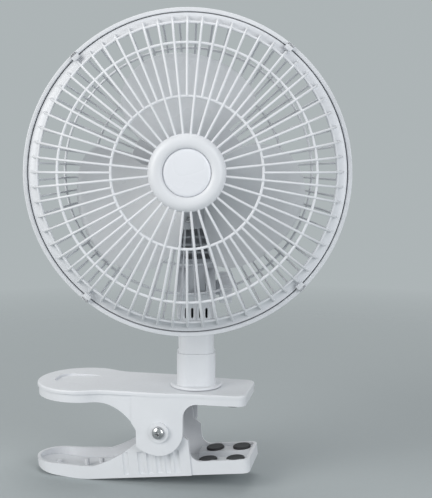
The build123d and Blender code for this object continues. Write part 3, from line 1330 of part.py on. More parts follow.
# ================================================================ rotor and blade
shaft_back = rear_cup - BEARING_LONG - EDGE_ROUND
with BuildPart() as motor_shaft:
    with BuildSketch(face.offset(shaft_back)):
        Circle(SHAFT_RADIUS)
    extrude(amount=SHAFT_FRONT - shaft_back)
    chamfer(faces().sort_by(fan_axis)[-1].edges(), length=SHAFT_CHAMFER)

with BuildPart() as rotor_core:
    with BuildSketch(face.offset(stator_middle - ROTOR_LONG / 2)):
        Circle(ROTOR_RADIUS)
        Circle(SHAFT_RADIUS + RUN_GAP, mode=Mode.SUBTRACT)
    extrude(amount=ROTOR_LONG)

with BuildPart() as thrust_washers:
    for height in (front_cup - BEARING_LONG - BODY_GAP, rear_cup + BODY_GAP + WASHER_THICK):
        with BuildSketch(face.offset(height)):
            Circle(WASHER_RADIUS)
            Circle(SHAFT_RADIUS + RUN_GAP, mode=Mode.SUBTRACT)
        extrude(amount=-WASHER_THICK)


def rim_point(angle, inset):
    """Place in the face plane at this clockwise angle, this far inside the blade's tip."""
    radius = BLADE_RADIUS - inset
    return (radius * math.cos(math.radians(angle)), -radius * math.sin(math.radians(angle)))


root_inset = BLADE_RADIUS - BLADE_HUB + WALL
blade_slope = (BLADE_FRONT + BLADE_BACK) / (BLADE_TWIST[-1] - BLADE_TWIST[0])
with BuildPart() as planform:
    with BuildSketch(face.offset(-BLADE_BACK - WALL)):
        with BuildLine():
            root = rim_point(ROOT_ANGLE, root_inset)
            tip_start = rim_point(TIP_ANGLE - TIP_ARC, 0)
            Spline(root, *[rim_point(*place) for place in TRAILING_EDGE], tip_start)
            tip_end = rim_point(TIP_ANGLE, 0)
            ThreePointArc(tip_start, rim_point(TIP_ANGLE - TIP_ARC / 2, 0), tip_end)
            leading = Spline(tip_end, *[rim_point(*place) for place in LEADING_EDGE])
            last = rim_point(LEADING_ROOT[-1][0], root_inset)
            Spline(leading @ 1, *[rim_point(*place) for place in LEADING_ROOT], last)
            ThreePointArc(last, rim_point((ROOT_ANGLE + LEADING_ROOT[-1][0]) / 2, root_inset), root)
        make_face()
    extrude(amount=BLADE_FRONT + BLADE_BACK + 2 * WALL)

with BuildPart() as blade:
    for angle in BLADE_TWIST:
        with BuildSketch(radial(angle)):
            height = BLADE_FRONT - blade_slope * (angle - BLADE_TWIST[0])
            slab(
                BLADE_HUB - 2 * WALL,
                BLADE_RADIUS + WALL,
                height - BLADE_THICK / 2,
                height + BLADE_THICK / 2,
            )
    loft()
    add(planform.part, mode=Mode.INTERSECT)

with BuildPart() as fan_blade:
    with BuildSketch(section):
        slab(0, BLADE_HUB, -HUB_BACK, HUB_FRONT)
        fillet(vertices().sort_by_distance((BLADE_HUB, HUB_FRONT))[0], radius=WALL)
    revolve(axis=fan_axis)
    for i in range(BLADE_COUNT):
        add(blade.part.rotate(fan_axis, 360 * i / BLADE_COUNT))
    with BuildSketch(section):
        slab(SHAFT_RADIUS + 2 * WALL, BLADE_HUB - WALL, -HUB_BACK, HUB_FRONT - WALL)
        slab(0, SHAFT_RADIUS + RUN_GAP, -HUB_BACK, HUB_FRONT)
    revolve(axis=fan_axis, mode=Mode.SUBTRACT)

with BuildPart() as spinner_nut:
    with BuildSketch(section):
        slab(0, SPINNER_RADIUS, HUB_FRONT, HUB_FRONT + SPINNER_LONG)
        fillet(vertices().sort_by_distance((SPINNER_RADIUS, HUB_FRONT + SPINNER_LONG))[0], radius=WALL)
        slab(0, SHAFT_RADIUS + RUN_GAP, HUB_FRONT, SHAFT_FRONT + SEAT_GAP, mode=Mode.SUBTRACT)
    revolve(axis=fan_axis)

# ================================================================ one file for each piece
pieces = {
    "clip_top_cover": clip_top_cover,
    "upper_jaw_frame": upper_jaw_frame,
    "upper_pads": upper_pads,
    "cover_screws": cover_screws,
    "pivot_screw": pivot_screw,
    "pivot_nut": pivot_nut,
    "pivot_sleeve": pivot_sleeve,
    "torsion_spring": torsion_spring,
    "lower_jaw": lower_jaw,
    "lower_pads": lower_pads,
    "swivel_socket": swivel_socket,
    "swivel_retainer": swivel_retainer,
    "swivel_screw": swivel_screw,
    "neck_left_shell": neck_left_shell,
    "neck_right_shell": neck_right_shell,
    "neck_screws": neck_screws,
    "cord_gland": cord_gland,
    "switch_body": switch_body,
    "switch_slider": switch_slider,
    "tilt_nut": tilt_nut,
    "tilt_knob": tilt_knob,
    "tilt_bolt": tilt_bolt,
    "motor_housing_front": motor_housing_front,
    "motor_housing_rear": motor_housing_rear,
    "housing_screws": housing_screws,
    "rear_guard": rear_guard,
    "guard_screws": guard_screws,
    "front_guard": front_guard,
    "hub_badge": hub_badge,
    "stator_core": stator_core,
    "stator_coils": stator_coils,
    "front_bracket": front_bracket,
    "rear_bracket": rear_bracket,
    "front_bearing": front_bearing,
    "rear_bearing": rear_bearing,
    "motor_bolts": motor_bolts,
    "motor_shaft": motor_shaft,
    "rotor_core": rotor_core,
    "fan_blade": fan_blade,
    "spinner_nut": spinner_nut,
    "thrust_washers": thrust_washers,
}
for name, piece in pieces.items():
    piece.part.label = name
    export_step(piece.part, f"parts/{name}.step")
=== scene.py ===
"""Clip fan: its moulded shells, cage, blade, pads, screws and spring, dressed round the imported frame."""

import json
import math

import bmesh
import bpy
from bpy.props import FloatProperty, FloatVectorProperty, IntProperty, PointerProperty
from mathutils import Matrix, Vector


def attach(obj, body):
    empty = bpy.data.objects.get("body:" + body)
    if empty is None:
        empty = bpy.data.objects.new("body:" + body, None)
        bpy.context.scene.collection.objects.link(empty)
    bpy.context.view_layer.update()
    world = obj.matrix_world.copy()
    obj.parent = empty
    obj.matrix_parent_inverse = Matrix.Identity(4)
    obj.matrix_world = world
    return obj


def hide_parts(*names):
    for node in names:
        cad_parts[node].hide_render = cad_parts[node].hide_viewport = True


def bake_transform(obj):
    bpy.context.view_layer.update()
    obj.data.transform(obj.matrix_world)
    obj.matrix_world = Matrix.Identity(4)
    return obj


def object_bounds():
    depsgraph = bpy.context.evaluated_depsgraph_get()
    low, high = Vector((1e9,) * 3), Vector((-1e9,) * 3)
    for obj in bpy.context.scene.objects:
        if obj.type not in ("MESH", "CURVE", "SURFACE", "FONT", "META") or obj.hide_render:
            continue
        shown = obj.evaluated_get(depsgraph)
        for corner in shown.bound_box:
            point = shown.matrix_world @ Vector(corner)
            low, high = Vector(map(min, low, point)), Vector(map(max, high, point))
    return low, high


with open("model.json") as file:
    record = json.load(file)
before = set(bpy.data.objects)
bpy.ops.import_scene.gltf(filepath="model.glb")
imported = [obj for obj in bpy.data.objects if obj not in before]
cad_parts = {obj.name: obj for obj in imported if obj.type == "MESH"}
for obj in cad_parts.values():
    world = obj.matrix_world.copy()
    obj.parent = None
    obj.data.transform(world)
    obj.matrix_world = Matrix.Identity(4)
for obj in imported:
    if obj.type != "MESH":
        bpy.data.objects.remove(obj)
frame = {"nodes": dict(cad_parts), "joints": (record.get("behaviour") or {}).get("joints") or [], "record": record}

bl_info = {
    "name": "Clip fan",
    "version": (1, 0, 0),
    "blender": (4, 5, 0),
    "location": "View3D > Sidebar > Clip fan",
    "description": "Builds the moulded shells, cage, blade, pads, screws and spring of a clip fan",
    "category": "Object",
}

MM = 0.001
TURN = 2 * math.pi
nodes = frame["nodes"]
joints = {joint["name"]: joint for joint in frame["joints"]}
mounts = {mount["name"]: mount for mount in frame["record"]["mounts"]}
CAD_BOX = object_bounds()

# ---------------------------------------------------------------- axes of the moving parts
UP = Vector((0, 0, 1))
RIGHT = Vector(joints["knob_turn"]["axis"])
FORWARD = Vector(joints["blade_spin"]["axis"])
FAN_CENTRE = Vector(joints["blade_spin"]["pos_m"])
TILT_PIVOT = Vector(joints["head_tilt"]["pos_m"])
CLIP_PIVOT = Vector(joints["clip_jaw"]["pos_m"])
JAW_UP = Vector(mounts["lower_pad"]["axis"])
JAW_ALONG = Vector((JAW_UP.z, 0, -JAW_UP.x))


def placed(origin, x_dir, z_dir):
    """Matrix that carries a piece drawn in millimetres to its place in the row frame."""
    z = Vector(z_dir).normalized()
    x = Vector(x_dir).normalized()
    turn = Matrix((x, z.cross(x), z)).transposed().to_4x4()
    return Matrix.Translation(origin) @ turn @ Matrix.Scale(MM, 4)


FAN = placed(FAN_CENTRE, RIGHT, FORWARD)  # x right, y up, z forward, from the rim's middle
POST = placed((TILT_PIVOT.x, TILT_PIVOT.y, 0), RIGHT, UP)  # x right, y back, z up, on the neck's axis
CLIP = placed((0, 0, 0), (1, 0, 0), UP)  # x along the clip, y across it, z up
JAW = placed(CLIP_PIVOT, JAW_ALONG, JAW_UP)  # the same along the lower jaw, from its pivot
SPRING_SEAT = placed(CLIP_PIVOT, (1, 0, 0), UP)
PIVOT_FRONT = placed(CLIP_PIVOT, (1, 0, 0), (0, -1, 0))  # z towards the viewer, on the clip's pivot


# ================================================================ sizes and colours to change
def length(name, description, millimetres):
    return FloatProperty(
        name=name, description=description, default=millimetres * MM, min=0, unit="LENGTH", precision=4
    )


def power(name, description, watts):
    return FloatProperty(name=name, description=description, default=watts, min=0, unit="POWER")


def tint(name, description, colour):
    return FloatVectorProperty(
        name=name, description=description, default=colour, size=3, min=0, max=1, subtype="COLOR"
    )


class CageSizes(bpy.types.PropertyGroup):
    spoke_pairs: IntProperty(
        name="Spoke pairs",
        description="Long spokes of the front cage, with a short one between each",
        default=32,
        min=8,
    )
    spoke_wide: length("Spoke width", "Width of a front spoke", 1.45)
    spoke_deep: length("Spoke depth", "Depth of a front spoke", 2.4)
    hoop: length("Hoop", "Thickness of the cage's hoops", 1.6)
    rear_spokes: IntProperty(name="Rear spokes", description="Spokes of the rear cage", default=56, min=8)
    rear_spoke_wide: length("Rear spoke width", "Width of a rear spoke", 1.4)
    edge_round: length("Edge rounding", "Rounding of the cage's rims", 0.5)


class BladeSizes(bpy.types.PropertyGroup):
    count: IntProperty(name="Lobes", description="Lobes of the blade", default=3, min=2)
    tip_radius: length("Tip radius", "From the fan's axis to the tip of a lobe", 71.9)
    hub_radius: length("Hub radius", "Radius of the blade's hub", 21.4)
    thickness: length("Thickness", "Thickness of a lobe", 1.8)
    camber: length("Camber", "Bow of a lobe between its edges", 1.2)


class ShellSizes(bpy.types.PropertyGroup):
    edge_round: length("Edge rounding", "Rounding of the moulded edges", 0.45)
    small_round: length("Small rounding", "Rounding of small or thin pieces", 0.2)
    pad_dish: length("Pad dish", "Depth of the hollow in a rubber pad", 0.25)
    ridge: length("Switch ridge", "Height of the ridges on the switch", 0.4)


class Finishes(bpy.types.PropertyGroup):
    white: tint("White plastic", "Moulded shells and cage", (0.75, 0.77, 0.80))
    blade: tint("Blade plastic", "Lobes of the blade", (0.62, 0.64, 0.66))
    badge: tint("Badge plastic", "Blank disc on the hub", (0.80, 0.82, 0.86))
    switch: tint("Switch plastic", "Slider of the switch", (0.56, 0.59, 0.63))
    inner: tint("Inner plastic", "Hidden mouldings", (0.10, 0.105, 0.115))
    rubber: tint("Pad rubber", "Pads of both jaws", (0.012, 0.012, 0.014))
    gland: tint("Gland rubber", "Strain relief of the cord's inlet", (0.50, 0.51, 0.54))
    chrome: tint("Screw steel", "Screws and the shaft", (0.62, 0.62, 0.63))
    wire: tint("Spring steel", "Wire of the spring", (0.42, 0.42, 0.43))
    lamination: tint("Motor steel", "Laminations of the motor", (0.22, 0.22, 0.23))
    bracket: tint("Bracket metal", "Brackets of the motor", (0.52, 0.53, 0.54))
    copper: tint("Coil copper", "Windings of the motor", (0.55, 0.20, 0.07))


class StageSettings(bpy.types.PropertyGroup):
    floor: tint("Floor", "Colour of the floor", (0.42, 0.46, 0.47))
    backdrop: tint("Backdrop", "Colour behind the floor", (0.42, 0.46, 0.47))
    lens: FloatProperty(name="Lens", description="Focal length", default=62.97, min=10, unit="CAMERA")
    key: power("Key lamp", "Power of the lamp on the left", 9.3)
    fill: power("Fill lamp", "Power of the lamp on the right", 5.8)
    top: power("Top lamp", "Power of the lamp above", 4.0)
    sky: FloatProperty(name="Sky", description="Strength of the light from all round", default=0.34, min=0)


def millimetres(metres):
    return metres / MM


# ================================================================ mesh helpers
def ring(bm, wide, deep, matrix, sides=12, square=2.6):
    """Closed ring of edges for a moulded bar: a rounded rectangle in the XY plane of the matrix."""
    verts = bmesh.ops.create_circle(bm, cap_ends=False, radius=1.0, segments=sides)["verts"]
    for vert in verts:
        x, y = vert.co.x, vert.co.y
        full = (abs(x) ** square + abs(y) ** square) ** (-1 / square)
        vert.co = Vector((x * full * wide / 2, y * full * deep / 2, 0))
    bmesh.ops.transform(bm, matrix=matrix, verts=verts)
    return ends_of(verts)


def ends_of(verts):
    verts = list(verts)
    edges = {edge for vert in verts for edge in vert.link_edges}
    return verts, [edge for edge in edges if edge.verts[0] in verts and edge.verts[1] in verts]


def edges_in(geom):
    return [item for item in geom if isinstance(item, bmesh.types.BMEdge)]


def verts_in(geom):
    return [item for item in geom if isinstance(item, bmesh.types.BMVert)]


def carried(bm, loop, move):
    """Extrudes a ring of edges along a vector and gives the new ring."""
    made = bmesh.ops.extrude_edge_only(bm, edges=loop[1])["geom"]
    verts = verts_in(made)
    bmesh.ops.translate(bm, verts=verts, vec=move)
    return ends_of(verts)


def swung(bm, loop, centre, axis, angle, steps, rise=(0, 0, 0)):
    """Spins a ring of edges round an axis and gives the last ring."""
    made = bmesh.ops.spin(
        bm,
        geom=loop[0] + loop[1],
        cent=centre,
        axis=axis,
        dvec=rise,
        angle=angle,
        steps=steps,
        use_merge=False,
        use_duplicate=False,
    )["geom_last"]
    return verts_in(made), edges_in(made)


def capped(bm):
    """Closes every open ring of a bar."""
    bmesh.ops.holes_fill(bm, edges=[edge for edge in bm.edges if edge.is_boundary], sides=0)


def turned(bm, profile, steps=96):
    """Turns a closed profile of (radius, height) round Z."""
    verts = [bm.verts.new((radius, 0, height)) for radius, height in profile]
    edges = [bm.edges.new((verts[i - 1], verts[i])) for i in range(len(verts))]
    bmesh.ops.spin(
        bm,
        geom=verts + edges,
        cent=(0, 0, 0),
        axis=(0, 0, 1),
        angle=TURN,
        steps=steps,
        use_merge=True,
    )
    clean(bm)


def clean(bm):
    bmesh.ops.remove_doubles(bm, verts=bm.verts, dist=1e-4)
    bmesh.ops.dissolve_degenerate(bm, dist=1e-4, edges=bm.edges)
    bmesh.ops.recalc_face_normals(bm, faces=bm.faces)


def block(bm, low, high, round_by=0.0, segments=2):
    """Box between two corners, with all its edges rounded."""
    low, high = Vector(low), Vector(high)
    verts = bmesh.ops.create_cube(bm, size=1.0)["verts"]
    bmesh.ops.scale(bm, vec=high - low, verts=verts)
    bmesh.ops.translate(bm, vec=(low + high) / 2, verts=verts)
    if round_by:
        edges = {edge for vert in verts for edge in vert.link_edges}
        bmesh.ops.bevel(
            bm,
            geom=list(edges),
            offset=round_by,
            offset_type="OFFSET",
            segments=segments,
            profile=0.5,
            affect="EDGES",
            material=-1,
            clamp_overlap=True,
        )
    return verts


def joined(bm, other, matrix=None):
    """Adds a copy of another bmesh to this one, moved by a matrix."""
    mesh = bpy.data.meshes.new("joined")
    other.to_mesh(mesh)
    if matrix is not None:
        mesh.transform(matrix)
    bm.from_mesh(mesh)
    bpy.data.meshes.remove(mesh)


def repeated(bm, count, axis=(0, 0, 1), turn=TURN):
    """Copies everything round an axis, this many in a turn."""
    whole = bm.verts[:] + bm.edges[:] + bm.faces[:]
    bmesh.ops.spin(
        bm,
        geom=whole,
        cent=(0, 0, 0),
        axis=axis,
        angle=turn * (count - 1) / count,
        steps=count - 1,
        use_merge=False,
        use_duplicate=True,
    )


def made_object(name, bm, matrix):
    if matrix is not None:
        bmesh.ops.transform(bm, matrix=matrix, verts=bm.verts)
    mesh = bpy.data.meshes.new(name)
    bm.to_mesh(mesh)
    bm.free()
    piece = bpy.data.objects.new(name, mesh)
    bpy.context.scene.collection.objects.link(piece)
    return piece


def rounded(piece, width, segments=3, angle=34.0):
    """Rounds the sharp edges and evens the shading of the flats between them."""
    if width:
        bevel = piece.modifiers.new("rounded_edges", "BEVEL")
        bevel.width = width
        bevel.segments = segments
        bevel.limit_method = "ANGLE"
        bevel.angle_limit = math.radians(angle)
        bevel.use_clamp_overlap = True
        bevel.miter_outer = "MITER_ARC"
        even = piece.modifiers.new("even_flats", "WEIGHTED_NORMAL")
        even.keep_sharp = True
    piece.data.shade_smooth()
    piece.data.set_sharp_from_angle(angle=math.radians(50.0))


def finished(name, bm, matrix, body, slot, replaces=(), width=0.0, segments=3, angle=34.0):
    """Makes the piece, rounds it, and fits it to its body and slot, whose finish it takes."""
    piece = made_object(name, bm, matrix)
    rounded(piece, width, segments, angle)
    piece.data.materials.append(finish_for(slot))
    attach(piece, body)
    if replaces:
        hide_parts(*replaces)
    return piece


def node_copy(node, merge_flats=True):
    """The node's shape as one clean skin, in millimetres.

    Merged flats fold over where many ribs and pockets break them up, as in the lower jaw.
    """
    bm = bmesh.new()
    bm.from_mesh(nodes[node].data)
    bmesh.ops.scale(bm, vec=(1 / MM, 1 / MM, 1 / MM), verts=bm.verts)
    bmesh.ops.remove_doubles(bm, verts=bm.verts, dist=2e-3)
    bmesh.ops.dissolve_degenerate(bm, dist=1e-3, edges=bm.edges)
    if merge_flats:
        bmesh.ops.dissolve_limit(
            bm,
            angle_limit=math.radians(1.0),
            use_dissolve_boundaries=False,
            verts=bm.verts,
            edges=bm.edges,
            delimit=set(),
        )
    return bm


def softened(node, name, body, width, merge_flats=True):
    """The node's own shape in white plastic, with its moulded edges rounded."""
    skin = node_copy(node, merge_flats)
    finished(name, skin, Matrix.Scale(MM, 4), body, "white_plastic", (node,), width)


def carved(bm, cutters):
    """Cuts closed shapes out of a bmesh and gives the result."""
    piece = made_object("carving", bm, None)
    for cutter_mesh in cutters:
        cutter = made_object("cutter", cutter_mesh, None)
        cut = piece.modifiers.new("cut", "BOOLEAN")
        cut.operation = "DIFFERENCE"
        cut.solver = "EXACT"
        cut.object = cutter
        shape = bpy.data.meshes.new_from_object(piece.evaluated_get(bpy.context.evaluated_depsgraph_get()))
        piece.modifiers.clear()
        piece.data = shape
        bpy.data.objects.remove(cutter)
    result = bmesh.new()
    result.from_mesh(piece.data)
    bpy.data.objects.remove(piece)
    return result


# ================================================================ finishes
def linked(tree, kind, inputs=None, **settings):
    """Adds a node with its settings and its inputs, which are values or other nodes' outputs."""
    made = tree.nodes.new(kind)
    for key, value in settings.items():
        setattr(made, key, value)
    for key, value in (inputs or {}).items():
        if isinstance(value, bpy.types.NodeSocket):
            tree.links.new(value, made.inputs[key])
        else:
            made.inputs[key].default_value = value
    return made


def new_group(name, inputs, outputs):
    """Empty shader node group with named inputs (name, type, default) and outputs (name, type)."""
    group = bpy.data.node_groups.new(name, "ShaderNodeTree")
    for label, kind, default in inputs:
        socket = group.interface.new_socket(name=label, in_out="INPUT", socket_type=kind)
        socket.default_value = default
    for label, kind in outputs:
        group.interface.new_socket(name=label, in_out="OUTPUT", socket_type=kind)
    return group, group.nodes.new("NodeGroupInput").outputs, group.nodes.new("NodeGroupOutput").inputs


def noise(tree, vector, scale, detail=2.0, roughness=0.5):
    return linked(
        tree,
        "ShaderNodeTexNoise",
        {"Vector": vector, "Scale": scale, "Detail": detail, "Roughness": roughness},
    ).outputs["Fac"]


def ranged(tree, value, low, high, to_low=0.0, to_high=1.0):
    return linked(
        tree,
        "ShaderNodeMapRange",
        {"Value": value, "From Min": low, "From Max": high, "To Min": to_low, "To Max": to_high},
    ).outputs["Result"]


def reckoned(tree, operation, first, second):
    return linked(tree, "ShaderNodeMath", {0: first, 1: second}, operation=operation).outputs[0]


def dotted(tree, first, second):
    made = linked(tree, "ShaderNodeVectorMath", {0: first, 1: second}, operation="DOT_PRODUCT")
    return made.outputs["Value"]


def mixed(tree, share, first, second):
    """Colour between two colours."""
    made = linked(tree, "ShaderNodeMix", data_type="RGBA")
    for place, value in ((0, share), (6, first), (7, second)):
        if isinstance(value, bpy.types.NodeSocket):
            tree.links.new(value, made.inputs[place])
        else:
            made.inputs[place].default_value = value
    return made.outputs[2]


def build_moulded_skin():
    """Spark-eroded mould texture: a fine grain, slow sink marks and patches of tone."""
    group, given, result = new_group(
        "moulded_skin",
        [("Grain", "NodeSocketFloat", 2600.0), ("Sink", "NodeSocketFloat", 45.0)],
        [("Height", "NodeSocketFloat"), ("Patch", "NodeSocketFloat")],
    )
    place = group.nodes.new("ShaderNodeTexCoord").outputs["Object"]
    fine = noise(group, place, given["Grain"], 3.0, 0.6)
    slow = noise(group, place, given["Sink"], 2.0, 0.4)
    group.links.new(reckoned(group, "ADD", reckoned(group, "MULTIPLY", slow, 2.0), fine), result["Height"])
    group.links.new(ranged(group, slow, 0.34, 0.66), result["Patch"])
    return group


def build_edge_rub_and_highlight():
    """Mask of the outer edges, where handling has worn the skin and where a painted highlight lightens them,
    broken up by a noise.
    """
    group, given, result = new_group(
        "edge_rub_and_highlight",
        [("Reach", "NodeSocketFloat", 0.0006), ("Breakup", "NodeSocketFloat", 260.0)],
        [("Mask", "NodeSocketFloat")],
    )
    place = group.nodes.new("ShaderNodeTexCoord").outputs["Object"]
    soft = linked(group, "ShaderNodeBevel", {"Radius": given["Reach"]}, samples=4).outputs["Normal"]
    flat = group.nodes.new("ShaderNodeNewGeometry").outputs["Normal"]
    along = dotted(group, soft, flat)
    edge = ranged(group, along, 0.995, 0.86)
    spots = ranged(group, noise(group, place, given["Breakup"], 4.0, 0.6), 0.3, 0.62)
    group.links.new(reckoned(group, "MULTIPLY", edge, spots), result["Mask"])
    return group


def build_settled_dust():
    """Mask of the faces that look up, where a little dust lies in a fine speckle."""
    group, given, result = new_group(
        "settled_dust",
        [("Amount", "NodeSocketFloat", 0.3), ("Speckle", "NodeSocketFloat", 900.0)],
        [("Mask", "NodeSocketFloat")],
    )
    place = group.nodes.new("ShaderNodeTexCoord").outputs["Object"]
    normal = group.nodes.new("ShaderNodeNewGeometry").outputs["Normal"]
    height = linked(group, "ShaderNodeSeparateXYZ", {"Vector": normal}).outputs["Z"]
    facing = ranged(group, height, 0.35, 1.0)
    speckle = ranged(group, noise(group, place, given["Speckle"], 5.0, 0.7), 0.42, 0.72)
    cloud = ranged(group, noise(group, place, 30.0, 2.0, 0.5), 0.3, 0.7, 0.4, 1.0)
    share = reckoned(group, "MULTIPLY", reckoned(group, "MULTIPLY", facing, speckle), cloud)
    group.links.new(reckoned(group, "MULTIPLY", share, given["Amount"]), result["Mask"])
    return group


def build_drawn_metal():
    """Fine drawn lines and soft stains of bare metal."""
    group, given, result = new_group(
        "drawn_metal",
        [
            ("Lines", "NodeSocketFloat", 900.0),
            ("Stretch", "NodeSocketVector", (1.0, 1.0, 8.0)),
            ("Stain", "NodeSocketFloat", 160.0),
        ],
        [("Height", "NodeSocketFloat"), ("Stain", "NodeSocketFloat")],
    )
    place = group.nodes.new("ShaderNodeTexCoord").outputs["Object"]
    drawn = linked(group, "ShaderNodeVectorMath", {0: place, 1: given["Stretch"]}, operation="MULTIPLY")
    group.links.new(noise(group, drawn.outputs[0], given["Lines"], 2.0, 0.5), result["Height"])
    group.links.new(ranged(group, noise(group, place, given["Stain"], 4.0, 0.6), 0.35, 0.65), result["Stain"])
    return group


def opaque(colour):
    return (*colour, 1.0)


def shade(colour, factor):
    return (*(min(1.0, part * factor) for part in colour), 1.0)


def new_finish(name):
    finish = bpy.data.materials.new(name)
    finish.use_nodes = True
    tree = finish.node_tree
    return finish, tree, tree.nodes["Principled BSDF"]


def bumped(tree, shader, height, strength, distance):
    bump = linked(tree, "ShaderNodeBump", {"Height": height, "Strength": strength, "Distance": distance})
    tree.links.new(bump.outputs["Normal"], shader.inputs["Normal"])


def plastic(
    name, colour, rough, groups, grain=2600.0, depth=0.000012, rub_and_highlight=0.35, dust=0.25, cool=0.965, coat=0.0
):
    """Moulded plastic: tone drifts over the sink marks, edges are worn smooth and lightened by wear and a painted
    highlight, and dust lies on top.
    """
    finish, tree, shader = new_finish(name)
    skin = linked(tree, "ShaderNodeGroup", node_tree=groups["moulded_skin"])
    skin.inputs["Grain"].default_value = grain
    edge = linked(tree, "ShaderNodeGroup", node_tree=groups["edge_rub_and_highlight"])
    fallen = linked(tree, "ShaderNodeGroup", node_tree=groups["settled_dust"])
    fallen.inputs["Amount"].default_value = dust
    drift = mixed(tree, skin.outputs["Patch"], opaque(colour), shade(colour, cool))
    # Outer edges are lightened to a brighter white: partly wear, partly a painted highlight on the rims.
    rubbed_and_highlit = reckoned(tree, "MULTIPLY", edge.outputs["Mask"], rub_and_highlight)
    lit = mixed(tree, rubbed_and_highlit, drift, shade(colour, 1.12))
    dusty = mixed(tree, fallen.outputs["Mask"], lit, (0.60, 0.585, 0.56, 1.0))
    tree.links.new(dusty, shader.inputs["Base Color"])
    worn = reckoned(tree, "MULTIPLY", rubbed_and_highlit, -0.18)
    mottled = ranged(tree, skin.outputs["Patch"], 0.0, 1.0, rough - 0.03, rough + 0.05)
    matted = reckoned(tree, "MULTIPLY", fallen.outputs["Mask"], 0.5)
    roughness = reckoned(tree, "ADD", reckoned(tree, "ADD", mottled, worn), matted)
    tree.links.new(roughness, shader.inputs["Roughness"])
    shader.inputs["Coat Weight"].default_value = coat
    shader.inputs["Coat Roughness"].default_value = 0.12
    bumped(tree, shader, skin.outputs["Height"], 0.6, depth)
    return finish


def rubber(name, colour, rough, groups):
    """Soft rubber: matt, finely pitted, lightened at the edges by wear and a painted highlight, turned grey where
    dust clings.
    """
    finish, tree, shader = new_finish(name)
    skin = linked(tree, "ShaderNodeGroup", node_tree=groups["moulded_skin"])
    skin.inputs["Grain"].default_value = 3600.0
    fallen = linked(tree, "ShaderNodeGroup", node_tree=groups["settled_dust"])
    fallen.inputs["Amount"].default_value = 0.12
    edge = linked(tree, "ShaderNodeGroup", node_tree=groups["edge_rub_and_highlight"])
    drift = mixed(tree, skin.outputs["Patch"], opaque(colour), shade(colour, 1.7))
    # Edges are lightened towards grey: partly wear, partly a painted highlight on the pads' rims.
    greyed_and_highlit = mixed(tree, reckoned(tree, "MULTIPLY", edge.outputs["Mask"], 0.2), drift, shade(colour, 3.0))
    dusty = mixed(tree, fallen.outputs["Mask"], greyed_and_highlit, (0.30, 0.30, 0.30, 1.0))
    tree.links.new(dusty, shader.inputs["Base Color"])
    mottled = ranged(tree, skin.outputs["Patch"], 0.0, 1.0, rough - 0.06, rough + 0.06)
    tree.links.new(mottled, shader.inputs["Roughness"])
    bumped(tree, shader, skin.outputs["Height"], 0.7, 0.00004)
    return finish


def metal(name, colour, rough, groups, lines=900.0, stretch=(1.0, 1.0, 8.0), depth=0.000008, stain=0.85):
    """Bare metal with drawn lines and faint stains."""
    finish, tree, shader = new_finish(name)
    drawn = linked(tree, "ShaderNodeGroup", node_tree=groups["drawn_metal"])
    drawn.inputs["Lines"].default_value = lines
    drawn.inputs["Stretch"].default_value = stretch
    drift = mixed(tree, drawn.outputs["Stain"], opaque(colour), shade(colour, stain))
    tree.links.new(drift, shader.inputs["Base Color"])
    stained = ranged(tree, drawn.outputs["Stain"], 0.0, 1.0, rough, rough + 0.12)
    tree.links.new(stained, shader.inputs["Roughness"])
    shader.inputs["Metallic"].default_value = 1.0
    bumped(tree, shader, drawn.outputs["Height"], 0.5, depth)
    return finish


COPPER_TURNS = 12000.0  # radians of winding in a metre


def wound_copper(name, colour, groups):
    """Lacquered copper turns, side by side, with painted shade in the creases between them."""
    finish, tree, shader = new_finish(name)
    place = tree.nodes.new("ShaderNodeTexCoord").outputs["Object"]
    phase = reckoned(tree, "MULTIPLY", dotted(tree, place, tuple(FORWARD)), COPPER_TURNS)
    turns = linked(tree, "ShaderNodeMath", {0: phase}, operation="SINE").outputs[0]
    drawn = linked(tree, "ShaderNodeGroup", node_tree=groups["drawn_metal"])
    groove_and_shade = ranged(tree, turns, -1.0, 1.0)
    # The copper is painted darker on the low of each wave: painted shade in the creases between turns.
    tree.links.new(mixed(tree, groove_and_shade, shade(colour, 0.45), opaque(colour)), shader.inputs["Base Color"])
    tree.links.new(ranged(tree, drawn.outputs["Stain"], 0.0, 1.0, 0.26, 0.4), shader.inputs["Roughness"])
    shader.inputs["Metallic"].default_value = 1.0
    shader.inputs["Coat Weight"].default_value = 0.5
    bumped(tree, shader, groove_and_shade, 0.8, 0.0002)
    return finish


FINISH_NAMES = {
    "white_plastic": "moulded_white",
    "blade_plastic": "moulded_blade",
    "badge_plastic": "moulded_badge",
    "switch_plastic": "moulded_switch",
    "inner_plastic": "moulded_inner",
    "pad_rubber": "black_rubber",
    "gland_rubber": "grey_rubber",
    "screw_steel": "plated_screw",
    "spring_steel": "drawn_wire",
    "motor_steel": "laminated_steel",
    "bracket_metal": "cast_bracket",
    "coil_copper": "wound_copper",
}


def finish_for(slot):
    return bpy.data.materials[FINISH_NAMES[slot]]


